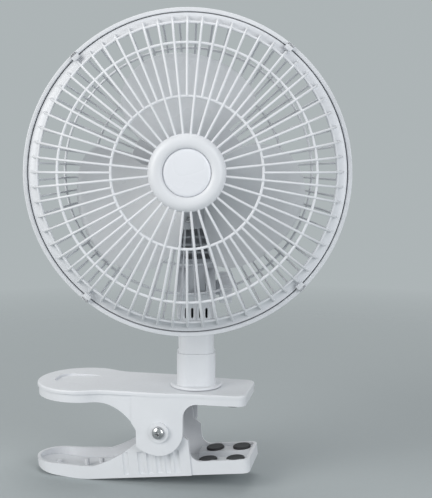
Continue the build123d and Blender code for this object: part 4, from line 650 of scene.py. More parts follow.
class CLIPFAN_OT_finishes(bpy.types.Operator):
    """Build the plastics, rubbers and metals and put them on the frame's own pieces"""

    bl_idname = "clipfan.finishes"
    bl_label = "Finishes"

    def execute(self, context):
        colours = context.scene.clipfan_finishes
        groups = {
            "moulded_skin": build_moulded_skin(),
            "edge_rub_and_highlight": build_edge_rub_and_highlight(),
            "settled_dust": build_settled_dust(),
            "drawn_metal": build_drawn_metal(),
        }
        name = FINISH_NAMES
        plastic(name["white_plastic"], colours.white, 0.34, groups)
        plastic(name["blade_plastic"], colours.blade, 0.30, groups, grain=1800.0, rub_and_highlight=0.2, dust=0.3)
        plastic(name["badge_plastic"], colours.badge, 0.26, groups, grain=3200.0, depth=0.000006, coat=0.15)
        plastic(name["switch_plastic"], colours.switch, 0.42, groups, grain=2200.0)
        plastic(name["inner_plastic"], colours.inner, 0.5, groups, rub_and_highlight=0.15, dust=0.1)
        rubber(name["pad_rubber"], colours.rubber, 0.52, groups)
        rubber(name["gland_rubber"], colours.gland, 0.6, groups)
        metal(name["screw_steel"], colours.chrome, 0.16, groups, lines=700.0, stretch=(1.0, 6.0, 1.0))
        metal(name["spring_steel"], colours.wire, 0.28, groups, lines=1200.0, stretch=(1.0, 5.0, 1.0))
        metal(
            name["motor_steel"], colours.lamination, 0.38, groups,
            lines=1500.0, stretch=tuple(6 * FORWARD), depth=0.00006,
        )
        metal(
            name["bracket_metal"], colours.bracket, 0.42, groups,
            lines=500.0, stretch=(1.0, 1.0, 1.0), depth=0.00004,
        )
        wound_copper(name["coil_copper"], colours.copper, groups)
        slots = node_slots()
        for node, piece in nodes.items():
            for place in piece.material_slots:
                place.material = finish_for(slots[node])
        return {"FINISHED"}


def node_slots():
    """Material slot of each node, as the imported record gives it."""
    return {part["node"]: part["material_slot"] for part in frame["record"]["subparts"]}


# ================================================================ cage
def arc_centre(first, middle, last):
    """Middle of the circle through three places."""
    (ax, ay), (bx, by), (cx, cy) = first, middle, last
    d = 2 * (ax * (by - cy) + bx * (cy - ay) + cx * (ay - by))
    a2, b2, c2 = ax * ax + ay * ay, bx * bx + by * by, cx * cx + cy * cy
    x = (a2 * (by - cy) + b2 * (cy - ay) + c2 * (ay - by)) / d
    y = (a2 * (cx - bx) + b2 * (ax - cx) + c2 * (bx - ax)) / d
    return Vector((x, y))


def angle_between(centre, start, end):
    """Signed turn about +Y that carries one place of the XZ plane to another."""
    a, b = Vector(start) - centre, Vector(end) - centre
    return math.atan2(b.x, b.y) - math.atan2(a.x, a.y)


def tangent_centre(previous, start, end):
    """Middle of the arc that goes on smoothly from another arc."""
    start, end = Vector(start), Vector(end)
    normal = (previous - start).normalized()
    chord = end - start
    return start + normal * chord.length_squared / (2 * chord.dot(normal))


HUB_RADIUS = 22.1
HUB_CROWN = 35.0
SPOKE_START = (20.1, 34.6)
SPOKE_MIDDLE = (46.0, 32.3)
SPOKE_SHOULDER = (74.1, 24.6)
SPOKE_FOOT = (91.9, 1.3)
BAND_IN = 88.6
BAND_OUT = 95.2
EDGE_HOOP = 87.2
OUTER_HOOP = 74.1
INNER_HOOP = 42.9
LIP_IN = 95.7
LIP_OUT = 98.2
LIP_FRONT = 1.5
LIP_BACK = -9.0
LEDGE = -7.0
PLATE_FRONT = -42.2
PLATE_BACK = -44.5
PLATE_RADIUS = 38.0
PLATE_HOLE = 10.0
REAR_BEND = 76.4
REAR_FILLET = 9.0
REAR_OUTER_HOOP = 79.0
REAR_INNER_HOOP = 61.0
TAB_ANGLES = (45.4, 128.8, 225.7, 309.2)

dome_centre = arc_centre(SPOKE_START, SPOKE_MIDDLE, SPOKE_SHOULDER)
side_centre = tangent_centre(dome_centre, SPOKE_SHOULDER, SPOKE_FOOT)


def on_arc(centre, through, radius):
    """Height of an arc over this radius."""
    size = (Vector(through) - centre).length
    return centre.y + math.sqrt(size * size - (radius - centre.x) ** 2)


def bar_start(place, heading):
    """Matrix that sets a bar's section across its heading, in the XZ plane."""
    along = Vector((heading[0], 0, heading[1])).normalized()
    side = Vector((0, 1, 0))
    turn = Matrix((side, along.cross(side), along)).transposed().to_4x4()
    return Matrix.Translation((place[0], 0, place[1])) @ turn


def front_bar(wide, deep, start_radius):
    """One spoke of the front cage, from this radius over the dome and down to the band."""
    bm = bmesh.new()
    start = (start_radius, on_arc(dome_centre, SPOKE_START, start_radius))
    out = Vector(start) - dome_centre
    loop = ring(bm, wide, deep, bar_start(start, (out.y, -out.x)))
    centre = (dome_centre.x, 0, dome_centre.y)
    loop = swung(bm, loop, centre, (0, 1, 0), angle_between(dome_centre, start, SPOKE_SHOULDER), 12)
    centre = (side_centre.x, 0, side_centre.y)
    swung(bm, loop, centre, (0, 1, 0), angle_between(side_centre, SPOKE_SHOULDER, SPOKE_FOOT), 8)
    capped(bm)
    return bm


def hoop(bm, radius, height, thick, steps=144, sides=10):
    """Round-edged ring about the fan's axis."""
    place = Matrix.Translation((radius, 0, height)) @ Matrix.Rotation(math.pi / 2, 4, "X")
    loop = ring(bm, thick, thick, place, sides)
    bmesh.ops.spin(
        bm, geom=loop[0] + loop[1], cent=(0, 0, 0), axis=(0, 0, 1), angle=TURN, steps=steps, use_merge=True
    )


def added(bm, maker, *values, **named):
    """Adds what a maker builds in a bmesh of its own."""
    other = bmesh.new()
    maker(other, *values, **named)
    joined(bm, other)
    other.free()


class CLIPFAN_OT_front_cage(bpy.types.Operator):
    """Build the domed front cage with its spokes, hoops, coved band and hub"""

    bl_idname = "clipfan.front_cage"
    bl_label = "Front cage"

    def execute(self, context):
        sizes = context.scene.clipfan_cage
        wide, deep = millimetres(sizes.spoke_wide), millimetres(sizes.spoke_deep)
        thick = millimetres(sizes.hoop)
        bm = bmesh.new()
        for start, offset in ((SPOKE_START[0], 0.5), (INNER_HOOP, 0.0)):
            spoke = front_bar(wide, deep, start)
            bmesh.ops.rotate(
                spoke,
                cent=(0, 0, 0),
                matrix=Matrix.Rotation(math.pi / 2 + offset * TURN / sizes.spoke_pairs, 3, "Z"),
                verts=spoke.verts,
            )
            repeated(spoke, sizes.spoke_pairs)
            joined(bm, spoke)
            spoke.free()
        added(bm, hoop, EDGE_HOOP, on_arc(side_centre, SPOKE_SHOULDER, EDGE_HOOP), thick)
        added(bm, hoop, OUTER_HOOP, on_arc(dome_centre, SPOKE_START, OUTER_HOOP), thick)
        added(bm, hoop, INNER_HOOP, on_arc(dome_centre, SPOKE_START, INNER_HOOP), thick)
        finished("front_cage_bars", bm, FAN, "head", "white_plastic", ("front_guard",))
        band = bmesh.new()
        cove = [
            (BAND_IN, 4.5), (BAND_IN + 0.9, 3.35), (BAND_IN + 2.1, 2.3), (BAND_IN + 3.5, 1.4),
            (BAND_IN + 5.0, 0.8), (BAND_OUT, 0.5),
        ]
        skirt = [(BAND_OUT, -6.7), (BAND_OUT - 1.6, -6.7), (BAND_OUT - 1.6, -1.1), (BAND_IN, 1.3)]
        turned(band, cove + skirt, steps=192)
        edge = sizes.edge_round
        finished("front_cage_band", band, FAN, "head", "white_plastic", width=edge * 0.7)
        hub = bmesh.new()
        crest = [
            (13.7, 36.4), (14.3, 37.05), (15.2, 37.6), (16.4, 37.93), (17.7, 38.0), (19.0, 37.75),
            (20.2, 37.1), (21.2, 36.2), (21.8, 35.3), (22.1, 34.4),
        ]
        inside = [
            (HUB_RADIUS, 31.0), (HUB_RADIUS - 2, 31.0), (HUB_RADIUS - 2, 33.0), (0, 33.0),
            (0, HUB_CROWN), (13.7, HUB_CROWN),
        ]
        turned(hub, crest + inside, steps=128)
        finished("front_cage_hub", hub, FAN, "head", "white_plastic", width=edge * 0.5)
        return {"FINISHED"}


class CLIPFAN_OT_badge(bpy.types.Operator):
    """Build the blank disc that sits in the hub"""

    bl_idname = "clipfan.badge"
    bl_label = "Badge"

    def execute(self, context):
        bm = bmesh.new()
        dome = [
            (0, 36.85), (4, 36.83), (8, 36.76), (11, 36.66), (12.1, 36.58), (12.9, 36.35), (13.4, 35.95),
            (13.6, 35.5),
        ]
        turned(bm, dome + [(13.6, HUB_CROWN), (0, HUB_CROWN)], steps=128)
        finished("badge_disc", bm, FAN, "head", "badge_plastic", ("hub_badge",))
        return {"FINISHED"}


def rear_bar(wide):
    """One spoke of the rear cage, from the motor plate out and forward to the lip."""
    bm = bmesh.new()
    middle = (PLATE_FRONT + PLATE_BACK) / 2
    foot = Vector((LIP_IN - 1.0, LEDGE - 1.0))
    slope = foot - Vector((REAR_BEND, middle))
    turn = math.atan2(slope.y, slope.x)
    cut_back = REAR_FILLET * math.tan(turn / 2)
    loop = ring(bm, wide, PLATE_FRONT - PLATE_BACK, bar_start((PLATE_RADIUS - 2, middle), (1, 0)))
    loop = carried(bm, loop, (REAR_BEND - cut_back - PLATE_RADIUS + 2, 0, 0))
    centre = (REAR_BEND - cut_back, 0, middle + REAR_FILLET)
    loop = swung(bm, loop, centre, (0, 1, 0), -turn, 8)
    rest = slope - slope.normalized() * cut_back
    carried(bm, loop, (rest.x, 0, rest.y))
    capped(bm)
    return bm


class CLIPFAN_OT_rear_cage(bpy.types.Operator):
    """Build the rear cage with its lip, snap tabs, spokes, hoops and motor plate"""

    bl_idname = "clipfan.rear_cage"
    bl_label = "Rear cage"

    def execute(self, context):
        sizes = context.scene.clipfan_cage
        thick = millimetres(sizes.hoop)
        bm = rear_bar(millimetres(sizes.rear_spoke_wide))
        bmesh.ops.rotate(
            bm,
            cent=(0, 0, 0),
            matrix=Matrix.Rotation(math.pi / 2 + math.pi / sizes.rear_spokes, 3, "Z"),
            verts=bm.verts,
        )
        repeated(bm, sizes.rear_spokes)
        middle = (PLATE_FRONT + PLATE_BACK) / 2
        foot = Vector((LIP_IN - 1.0, LEDGE - 1.0))
        slope = (foot - Vector((REAR_BEND, middle))).normalized()
        outer_height = foot.y - (foot.x - REAR_OUTER_HOOP) * slope.y / slope.x
        added(bm, hoop, REAR_OUTER_HOOP, outer_height, thick)
        added(bm, hoop, REAR_INNER_HOOP, middle, thick)
        finished("rear_cage_bars", bm, FAN, "head", "white_plastic", ("rear_guard",))
        lip = bmesh.new()
        section = [
            (LIP_IN, LIP_FRONT), (LIP_OUT, LIP_FRONT), (LIP_OUT, LIP_BACK), (LIP_IN - 2.5, LIP_BACK),
            (LIP_IN - 2.5, LEDGE), (LIP_IN, LEDGE),
        ]
        turned(lip, section, steps=192)
        edge = sizes.edge_round
        finished("rear_cage_lip", lip, FAN, "head", "white_plastic", width=edge)
        plate = bmesh.new()
        back = [(PLATE_HOLE, PLATE_BACK), (PLATE_RADIUS, PLATE_BACK)]
        front = [(PLATE_RADIUS, PLATE_FRONT), (PLATE_HOLE, PLATE_FRONT)]
        turned(plate, back + front)
        finished("rear_cage_plate", plate, FAN, "head", "white_plastic", width=edge)
        tabs = bmesh.new()
        for angle in TAB_ANGLES:
            tab = bmesh.new()
            block(tab, (LIP_OUT - 2.2, -2.4, 0), (LIP_OUT - 0.3, 2.4, 4.2), 0.3)
            block(tab, (LIP_OUT - 4.8, -2.4, 3.2), (LIP_OUT - 0.3, 2.4, 4.2), 0.3)
            joined(tabs, tab, Matrix.Rotation(math.radians(-angle), 4, "Z"))
            tab.free()
        finished("rear_cage_tabs", tabs, FAN, "head", "white_plastic")
        return {"FINISHED"}


# ================================================================ blade
TRAILING = ((0.0, 12.0), (1.8, 5.0), (8.9, -8.0), (20.0, -17.5), (35.6, -25.0), (52.5, -23.5))
LEADING = (
    (0.0, 20.0), (2.9, 50.0), (5.4, 63.0), (9.0, 71.0), (15.0, 75.4), (35.6, 73.4), (44.0, 67.5),
    (52.5, 67.5),
)
LOBE_START = -50.0
LOBE_SLOPE = 36.0 / 130.0
LOBE_FRONT = 11.0
LOBE_ROOT = 19.4
HUB_FRONT = 10.0
HUB_BACK = -24.0


def read_off(table, inset):
    """Angle of a lobe's edge at this distance inside the tip, which bends evenly in the distance's root."""
    places = [(math.sqrt(far), angle) for far, angle in table]
    at = math.sqrt(max(0.0, inset))
    slopes = []
    for i in range(len(places)):
        before, after = places[max(0, i - 1)], places[min(len(places) - 1, i + 1)]
        slopes.append((after[1] - before[1]) / (after[0] - before[0]))
    for i in range(len(places) - 1):
        (x0, y0), (x1, y1) = places[i], places[i + 1]
        if at <= x1 or i == len(places) - 2:
            span = x1 - x0
            t = min(1.0, max(0.0, (at - x0) / span))
            return (
                y0 * (1 + 2 * t) * (1 - t) ** 2
                + slopes[i] * span * t * (1 - t) ** 2
                + y1 * t * t * (3 - 2 * t)
                + slopes[i + 1] * span * t * t * (t - 1)
            )


def lobe(sizes):
    """One lobe as a twisted, slightly bowed sheet with real thickness."""
    tip = millimetres(sizes.tip_radius)
    bow = millimetres(sizes.camber)
    bm = bmesh.new()
    bmesh.ops.create_grid(bm, x_segments=30, y_segments=22, size=0.5)
    for vert in bm.verts:
        out, across = vert.co.x + 0.5, vert.co.y + 0.5
        inset = (tip - LOBE_ROOT) * (1 - out) ** 2
        low, high = read_off(TRAILING, inset), read_off(LEADING, inset)
        angle = low + (high - low) * across
        bend = math.sin(math.pi * across) * bow * min(1.0, 4 * (1 - out))
        height = LOBE_FRONT - LOBE_SLOPE * (angle - LOBE_START) + bend
        turn = math.radians(-angle)
        vert.co = Vector(((tip - inset) * math.cos(turn), (tip - inset) * math.sin(turn), height))
    bmesh.ops.recalc_face_normals(bm, faces=bm.faces)
    half = millimetres(sizes.thickness) / 2
    bm.normal_update()
    shifts = [(vert, vert.normal * half) for vert in bm.verts]
    for vert, shift in shifts:
        vert.co += shift
    bmesh.ops.solidify(bm, geom=bm.faces[:], thickness=2 * half)
    clean(bm)
    return bm


class CLIPFAN_OT_blade(bpy.types.Operator):
    """Build the three-lobed blade with its hub"""

    bl_idname = "clipfan.blade"
    bl_label = "Blade"

    def execute(self, context):
        sizes = context.scene.clipfan_blade
        bm = lobe(sizes)
        repeated(bm, sizes.count)
        hub_radius = millimetres(sizes.hub_radius)
        hub = bmesh.new()
        cup = [
            (2.55, HUB_BACK), (6.5, HUB_BACK), (6.5, HUB_FRONT - 2), (hub_radius - 2, HUB_FRONT - 2),
            (hub_radius - 2, HUB_BACK), (hub_radius, HUB_BACK), (hub_radius, HUB_FRONT - 2),
            (hub_radius - 0.6, HUB_FRONT - 0.6), (hub_radius - 2, HUB_FRONT), (2.55, HUB_FRONT),
        ]
        turned(hub, cup)
        for i in range(6):
            rib = bmesh.new()
            block(rib, (6.0, -0.6, HUB_BACK + 3), (hub_radius - 1.5, 0.6, HUB_FRONT - 1.5))
            joined(hub, rib, Matrix.Rotation(TURN * i / 6, 4, "Z"))
            rib.free()
        joined(bm, hub)
        hub.free()
        finished(
            "blade", bm, FAN, "rotor", "blade_plastic", ("fan_blade",),
            width=0.6 * MM, segments=3, angle=48.0,
        )
        return {"FINISHED"}


# ================================================================ screws
def cross_recess(size, depth):
    """Two crossed wedges that cut a cross recess, open at height 0."""
    cutters = []
    for turn in (0.0, math.pi / 2):
        bm = bmesh.new()
        verts = block(bm, (-size, -size * 0.24, -depth), (size, size * 0.24, depth))
        for vert in verts:
            if vert.co.z < 0:
                vert.co.x *= 0.35
                vert.co.y *= 0.6
        bmesh.ops.rotate(bm, cent=(0, 0, 0), matrix=Matrix.Rotation(turn, 3, "Z"), verts=bm.verts)
        bmesh.ops.recalc_face_normals(bm, faces=bm.faces)
        cutters.append(bm)
    return cutters


def screw(head, head_tall, shank, long, style, recess=0.55):
    """Screw with its head's seat at height 0, head upwards and shank down."""
    bm = bmesh.new()
    if style == "pan":
        top = [
            (0, head_tall), (head * 0.35, head_tall * 0.985), (head * 0.62, head_tall * 0.9),
            (head * 0.82, head_tall * 0.74), (head * 0.94, head_tall * 0.5), (head, head_tall * 0.22),
            (head, 0),
        ]
    elif style == "cheese":
        top = [
            (0, head_tall), (head * 0.8, head_tall), (head * 0.95, head_tall * 0.9), (head, head_tall * 0.7),
            (head, 0),
        ]
    else:
        top = [(0, 0), (head * 0.97, 0), (head, -0.12), (shank, -head_tall)]
    start = top[-1][1]
    if style == "countersunk":
        top = top[:-1] + [(shank, start)]
    else:
        top = top + [(shank, 0)]
    turned(bm, top + [(shank, -long + shank * 0.5), (shank * 0.45, -long), (0, -long)], steps=40)
    lift = head_tall if style != "countersunk" else 0.0
    cutters = cross_recess(head * recess, head_tall * 0.62)
    for cutter in cutters:
        bmesh.ops.translate(cutter, vec=(0, 0, lift), verts=cutter.verts)
    return carved(bm, cutters)


def screws(name, template, places, body, node, matrix=None):
    bm = bmesh.new()
    for place in places:
        joined(bm, template, place)
    template.free()
    return finished(
        name, bm, matrix, body, "screw_steel", (node,), width=0.12 * MM, segments=2, angle=40.0
    )


def at(base, x, y, z, flip=False, spin=0.0):
    """Place of a small piece in one of the fan's frames, flipped to look the other way along z if asked."""
    place = base @ Matrix.Translation((x, y, z))
    if flip:
        place = place @ Matrix.Rotation(math.pi, 4, "X")
    return place @ Matrix.Rotation(spin, 4, "Z")


BOSS_FACE = 26.3
CLIP_SCREWS = ((-108.1, 1.9), (-88.1, 1.9), (0.9, 1.5))
NECK_SCREWS = (25.0, 44.0)
SHELL_CIRCLE = 31.6
SPLIT = -68.0


def on_shell(turn, height, **pose):
    """Place of a screw on the ring of bosses of the motor housing."""
    return at(FAN, SHELL_CIRCLE * math.cos(turn), SHELL_CIRCLE * math.sin(turn), height, **pose)


class CLIPFAN_OT_screws(bpy.types.Operator):
    """Build the pivot screw and the screws of the clip, neck, cage and motor housing"""

    bl_idname = "clipfan.screws"
    bl_label = "Screws"

    def execute(self, context):
        screws(
            "pivot_pan_screw",
            screw(4.2, 2.7, 2.5, 2 * BOSS_FACE + 5, "pan"),
            [at(PIVOT_FRONT, 0, 0, BOSS_FACE, spin=math.radians(28))],
            "clip",
            "pivot_screw",
        )
        screws(
            "cover_screw_set",
            screw(2.8, 1.3, 1.5, 1.3 + 3.5, "countersunk", 0.5),
            [at(CLIP, x, 0, z, flip=True, spin=0.4 * i) for i, (x, z) in enumerate(CLIP_SCREWS)],
            "clip",
            "cover_screws",
        )
        seat = -12.7 + 1.1 + 2.0
        screws(
            "neck_screw_set",
            screw(2.3, 1.9, 1.25, 17.0, "cheese"),
            [
                at(POST, seat, -4.0, height)
                @ Matrix.Rotation(-math.pi / 2, 4, "Y")
                @ Matrix.Rotation(0.5 * i, 4, "Z")
                for i, height in enumerate(NECK_SCREWS)
            ],
            "neck",
            "neck_screws",
        )
        screws(
            "guard_screw_set",
            screw(2.2, 1.25, 1.25, 8.2, "pan"),
            [on_shell(TURN * i / 4, PLATE_FRONT, spin=0.7 * i) for i in range(4)],
            "head",
            "guard_screws",
        )
        screws(
            "housing_screw_set",
            screw(2.2, 2.0, 1.25, 14.0, "cheese"),
            [on_shell(TURN * (i + 0.5) / 4, SPLIT - 6.0, flip=True, spin=0.9 * i) for i in range(4)],
            "head",
            "housing_screws",
        )
        return {"FINISHED"}


# ================================================================ spring
WIRE = 2.0
COIL_RADIUS = 7.0
COIL_PITCH = 2.6
COIL_SWEEP = 360 * 6 + 115
COIL_START = 65.0
UPPER_LEG = 35.6
LOWER_LEG = 37.5


class CLIPFAN_OT_spring(bpy.types.Operator):
    """Wind the torsion spring of the clip, with a straight leg in each jaw"""

    bl_idname = "clipfan.spring"
    bl_label = "Spring"

    def execute(self, context):
        bm = bmesh.new()
        start = math.radians(COIL_START)
        rise = COIL_PITCH / TURN
        heading = Vector((COIL_RADIUS * math.sin(start), rise, -COIL_RADIUS * math.cos(start))).normalized()
        side = Vector((math.cos(start), 0, math.sin(start)))
        turn = Matrix((side, heading.cross(side), heading)).transposed().to_4x4()
        long = COIL_PITCH * COIL_SWEEP / 360
        place = Matrix.Translation((COIL_RADIUS * side.x, -long / 2, COIL_RADIUS * side.z)) @ turn
        loop = ring(bm, WIRE, WIRE, place, sides=14, square=2.0)
        back = [bm.verts.new(vert.co) for vert in loop[0]]
        for edge in loop[1]:
            bm.edges.new([back[loop[0].index(vert)] for vert in edge.verts])
        carried(bm, ends_of(back), -heading * UPPER_LEG)
        steps = round(COIL_SWEEP / 12)
        last = swung(
            bm, loop, (0, 0, 0), (0, 1, 0), math.radians(COIL_SWEEP), steps, rise=(0, long / steps, 0)
        )
        end = math.radians(COIL_START - COIL_SWEEP)
        heading = Vector((COIL_RADIUS * math.sin(end), rise, -COIL_RADIUS * math.cos(end))).normalized()
        carried(bm, last, heading * LOWER_LEG)
        bmesh.ops.remove_doubles(bm, verts=bm.verts, dist=1e-3)
        capped(bm)
        bmesh.ops.recalc_face_normals(bm, faces=bm.faces)
        piece = made_object("clip_spring", bm, SPRING_SEAT)
        rounded(piece, 0.0)
        piece.data.materials.append(finish_for("spring_steel"))
        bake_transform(piece)
        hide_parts("torsion_spring")
        return {"FINISHED"}


# ================================================================ pads
PAD_RADIUS = 6.0
PAD_TALL = 1.5
UPPER_PADS = [(x, y) for x in (-9.1, 9.1) for y in (-12.2, 12.2)]
LOWER_PADS = [(27.4 + x, y) for x in (0, 18.2) for y in (-12.2, 12.2)]
LOWER_RAIL = -23.3


def pad(dish, stem, barb):
    """Rubber pad, face up, with a shallow hollow and a stem that holds it in its jaw."""
    bm = bmesh.new()
    face = [
        (0, PAD_TALL - dish), (2.6, PAD_TALL - dish * 0.9), (3.9, PAD_TALL - dish * 0.45),
        (4.7, PAD_TALL - dish * 0.05), (5.1, PAD_TALL), (5.5, PAD_TALL - 0.06), (5.8, PAD_TALL - 0.26),
        (5.96, PAD_TALL - 0.6),
    ]
    side = [(PAD_RADIUS, 0.35), (PAD_RADIUS - 0.1, 0), (2.0, 0)]
    root = [(2.0, -stem), (0, -stem)]
    if barb:
        root = [(2.0, -stem), (barb, -stem), (barb, -stem - 1.0), (0, -stem - 1.0)]
    turned(bm, face + side + root, steps=56)
    return bm


class CLIPFAN_OT_pads(bpy.types.Operator):
    """Build the rubber pads of both jaws"""

    bl_idname = "clipfan.pads"
    bl_label = "Pads"

    def execute(self, context):
        dish = millimetres(context.scene.clipfan_shells.pad_dish)
        for name, places, base, height, flip, body, node, stem, barb in (
            ("upper_pad_set", UPPER_PADS, CLIP, PAD_TALL, True, "clip", "upper_pads", 2.0, 2.8),
            ("lower_pad_set", LOWER_PADS, JAW, LOWER_RAIL, False, "lower_jaw", "lower_pads", 3.4, 0.0),
        ):
            template = pad(dish, stem, barb)
            bm = bmesh.new()
            for x, y in places:
                joined(bm, template, at(base, x, y, height, flip=flip))
            template.free()
            finished(name, bm, None, body, "pad_rubber", (node,))
        return {"FINISHED"}


# ================================================================ moulded shells
class CLIPFAN_OT_clip_shells(bpy.types.Operator):
    """Round the moulded edges of the clip's cover, frame and lower jaw"""

    bl_idname = "clipfan.clip_shells"
    bl_label = "Clip shells"

    def execute(self, context):
        edge = context.scene.clipfan_shells.edge_round
        softened("clip_top_cover", "top_plate", "clip", edge)
        softened("upper_jaw_frame", "upper_frame", "clip", edge)
        softened("lower_jaw", "lower_tray", "lower_jaw", edge, merge_flats=False)
        return {"FINISHED"}


class CLIPFAN_OT_neck_shells(bpy.types.Operator):
    """Round the neck's two shells, its socket and the tilt knob"""

    bl_idname = "clipfan.neck_shells"
    bl_label = "Neck shells"

    def execute(self, context):
        sizes = context.scene.clipfan_shells
        softened("swivel_socket", "socket", "neck", sizes.edge_round)
        softened("neck_left_shell", "neck_left", "neck", sizes.small_round)
        softened("neck_right_shell", "neck_right", "neck", sizes.small_round)
        softened("tilt_knob", "knob", "knob", sizes.edge_round)
        return {"FINISHED"}


class CLIPFAN_OT_housing(bpy.types.Operator):
    """Round the two shells of the motor housing"""

    bl_idname = "clipfan.housing"
    bl_label = "Motor housing"

    def execute(self, context):
        sizes = context.scene.clipfan_shells
        softened("motor_housing_front", "housing_front", "head", sizes.small_round)
        softened("motor_housing_rear", "housing_rear", "head", sizes.small_round)
        softened("spinner_nut", "spinner", "rotor", sizes.small_round)
        return {"FINISHED"}


GLAND_HEIGHT = 38.0
SLIDER_MIDDLE = 50.0
SLIDER_FACE = 12.6


class CLIPFAN_OT_inlet(bpy.types.Operator):
    """Build the cord gland and the ridged slider of the switch"""

    bl_idname = "clipfan.inlet"
    bl_label = "Gland and switch"

    def execute(self, context):
        bm = bmesh.new()
        ribs = []
        for i in range(2):
            low = 13.9 + i * 1.0
            ribs += [(4.5, low), (4.1, low), (4.1, low + 0.5), (4.5, low + 0.5)]
        profile = [
            (3.2, 6.1), (5.4, 6.1), (5.4, 8.1), (4.5, 8.1), (4.5, 11.2), (5.4, 11.2), (5.4, 12.7),
            (5.0, 13.2), (4.5, 13.3), *ribs, (4.4, 16.0), (4.1, 16.2), (3.2, 16.2),
        ]
        turned(bm, profile, steps=64)
        back = POST @ Matrix.Translation((0, 0, GLAND_HEIGHT)) @ Matrix.Rotation(-math.pi / 2, 4, "X")
        finished("gland", bm, back, "neck", "gland_rubber", ("cord_gland",))
        ridge = millimetres(context.scene.clipfan_shells.ridge)
        slider = node_copy("switch_slider")
        bars = bmesh.new()
        for i in range(4):
            middle = SLIDER_MIDDLE + (i - 1.5) * 1.5
            low = (-2.4, SLIDER_FACE - 0.4, middle - 0.35)
            block(bars, low, (2.4, SLIDER_FACE + ridge, middle + 0.35), 0.25)
        joined(slider, bars, Matrix.Scale(1 / MM, 4) @ POST)
        bars.free()
        finished(
            "slider", slider, Matrix.Scale(MM, 4), "switch", "switch_plastic",
            ("switch_slider",), width=0.15 * MM,
        )
        return {"FINISHED"}


# ================================================================ stage
CAMERA_PLACE = (0.1086, -0.5660, 0.1594)
CAMERA_YAW = 12.5
CAMERA_SHIFT = (0.0361, -0.1827)
FLOOR_RADIUS = 4.0


def lamp(name, place, target, size, power, colour):
    light = bpy.data.lights.new(name, "AREA")
    light.shape = "RECTANGLE"
    light.size, light.size_y = size
    light.energy = power
    light.color = colour
    made = bpy.data.objects.new(name, light)
    made.location = place
    made.rotation_euler = (Vector(target) - Vector(place)).to_track_quat("-Z", "Y").to_euler()
    bpy.context.scene.collection.objects.link(made)


def seen_or_mirrored(tree):
    """1 where a ray comes from the camera, a mirror or glass."""
    path = tree.nodes.new("ShaderNodeLightPath")
    seen = reckoned(tree, "MAXIMUM", path.outputs["Is Camera Ray"], path.outputs["Is Glossy Ray"])
    return reckoned(tree, "MAXIMUM", seen, path.outputs["Is Transmission Ray"])


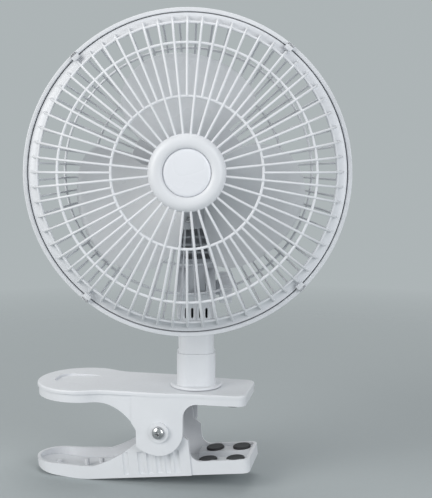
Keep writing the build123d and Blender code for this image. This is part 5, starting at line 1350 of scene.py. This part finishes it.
class CLIPFAN_OT_stage(bpy.types.Operator):
    """Set the camera, the floor, the backdrop and the lamps"""

    bl_idname = "clipfan.stage"
    bl_label = "Stage"

    def execute(self, context):
        scene = context.scene
        settings = scene.clipfan_stage
        lens = bpy.data.cameras.new("camera")
        lens.lens = settings.lens
        lens.shift_x, lens.shift_y = CAMERA_SHIFT
        lens.clip_start = 0.01
        camera = bpy.data.objects.new("camera", lens)
        camera.location = CAMERA_PLACE
        camera.rotation_euler = (math.radians(90), 0, math.radians(CAMERA_YAW))
        scene.collection.objects.link(camera)
        scene.camera = camera

        bm = bmesh.new()
        bmesh.ops.create_circle(bm, cap_ends=True, radius=FLOOR_RADIUS, segments=96)
        floor = made_object("floor", bm, Matrix.Translation((0, 0, CAD_BOX[0][2])))
        paint = bpy.data.materials.new("floor_paint")
        paint.use_nodes = True
        tree = paint.node_tree
        shader = tree.nodes["Principled BSDF"]
        place = tree.nodes.new("ShaderNodeTexCoord").outputs["Object"]
        grain = noise(tree, place, 300.0, 3.0)
        tree.links.new(
            mixed(tree, ranged(tree, grain, 0.3, 0.7), opaque(settings.floor), shade(settings.floor, 0.985)),
            shader.inputs["Base Color"],
        )
        shader.inputs["Roughness"].default_value = 0.9
        shader.inputs["Specular IOR Level"].default_value = 0.1
        far = linked(tree, "ShaderNodeVectorMath", {0: place}, operation="LENGTH").outputs["Value"]
        clear = tree.nodes.new("ShaderNodeBsdfTransparent")
        blend = linked(tree, "ShaderNodeMixShader", {0: ranged(tree, far, 0.25, 0.9)})
        tree.links.new(shader.outputs[0], blend.inputs[1])
        tree.links.new(clear.outputs[0], blend.inputs[2])
        tree.links.new(blend.outputs[0], tree.nodes["Material Output"].inputs["Surface"])
        floor.data.materials.append(paint)

        world = bpy.data.worlds.new("studio")
        world.use_nodes = True
        scene.world = world
        tree = world.node_tree
        tree.nodes.clear()
        sky_colour = (0.97, 0.98, 1.0, 1.0)
        glow = linked(tree, "ShaderNodeBackground", {"Color": sky_colour, "Strength": settings.sky})
        plain = linked(tree, "ShaderNodeBackground", {"Color": opaque(settings.backdrop), "Strength": 1.0})
        both = linked(tree, "ShaderNodeMixShader", {0: seen_or_mirrored(tree)})
        tree.links.new(glow.outputs[0], both.inputs[1])
        tree.links.new(plain.outputs[0], both.inputs[2])
        output = tree.nodes.new("ShaderNodeOutputWorld")
        tree.links.new(both.outputs[0], output.inputs["Surface"])

        middle = (-0.02, -0.02, 0.1)
        lamp("key_lamp", (-0.75, -0.85, 0.55), middle, (0.7, 0.9), settings.key, (1.0, 0.99, 0.97))
        lamp("fill_lamp", (0.85, -0.7, 0.3), middle, (0.6, 0.9), settings.fill, (0.96, 0.98, 1.0))
        lamp("top_lamp", (0.0, 0.25, 1.1), middle, (0.9, 0.7), settings.top, (1.0, 1.0, 1.0))
        scene.view_settings.view_transform = "Standard"
        return {"FINISHED"}


# ================================================================ add-on
class CLIPFAN_PT_pieces(bpy.types.Panel):
    """Lists the fan's pieces and their sizes"""

    bl_idname = "CLIPFAN_PT_pieces"
    bl_label = "Clip fan"
    bl_space_type = "VIEW_3D"
    bl_region_type = "UI"
    bl_category = "Clip fan"

    def draw(self, context):
        for group in GROUPS:
            box = self.layout.box()
            box.label(text=group)
            values = getattr(context.scene, group)
            for name in GROUPS[group].__annotations__:
                box.prop(values, name)
        for step in STEPS:
            self.layout.operator(step.bl_idname)


GROUPS = {
    "clipfan_cage": CageSizes,
    "clipfan_blade": BladeSizes,
    "clipfan_shells": ShellSizes,
    "clipfan_finishes": Finishes,
    "clipfan_stage": StageSettings,
}
STEPS = (
    CLIPFAN_OT_stage,
    CLIPFAN_OT_finishes,
    CLIPFAN_OT_front_cage,
    CLIPFAN_OT_badge,
    CLIPFAN_OT_rear_cage,
    CLIPFAN_OT_blade,
    CLIPFAN_OT_screws,
    CLIPFAN_OT_spring,
    CLIPFAN_OT_pads,
    CLIPFAN_OT_clip_shells,
    CLIPFAN_OT_neck_shells,
    CLIPFAN_OT_housing,
    CLIPFAN_OT_inlet,
)


def register():
    for name, group in GROUPS.items():
        bpy.utils.register_class(group)
        setattr(bpy.types.Scene, name, PointerProperty(type=group))
    for step in STEPS:
        bpy.utils.register_class(step)
    bpy.utils.register_class(CLIPFAN_PT_pieces)


def unregister():
    bpy.utils.unregister_class(CLIPFAN_PT_pieces)
    for step in reversed(STEPS):
        bpy.utils.unregister_class(step)
    for name, group in GROUPS.items():
        delattr(bpy.types.Scene, name)
        bpy.utils.unregister_class(group)


def main():
    register()
    for step in STEPS:
        group, name = step.bl_idname.split(".")
        getattr(getattr(bpy.ops, group), name)()


if __name__ == "__main__":
    main()
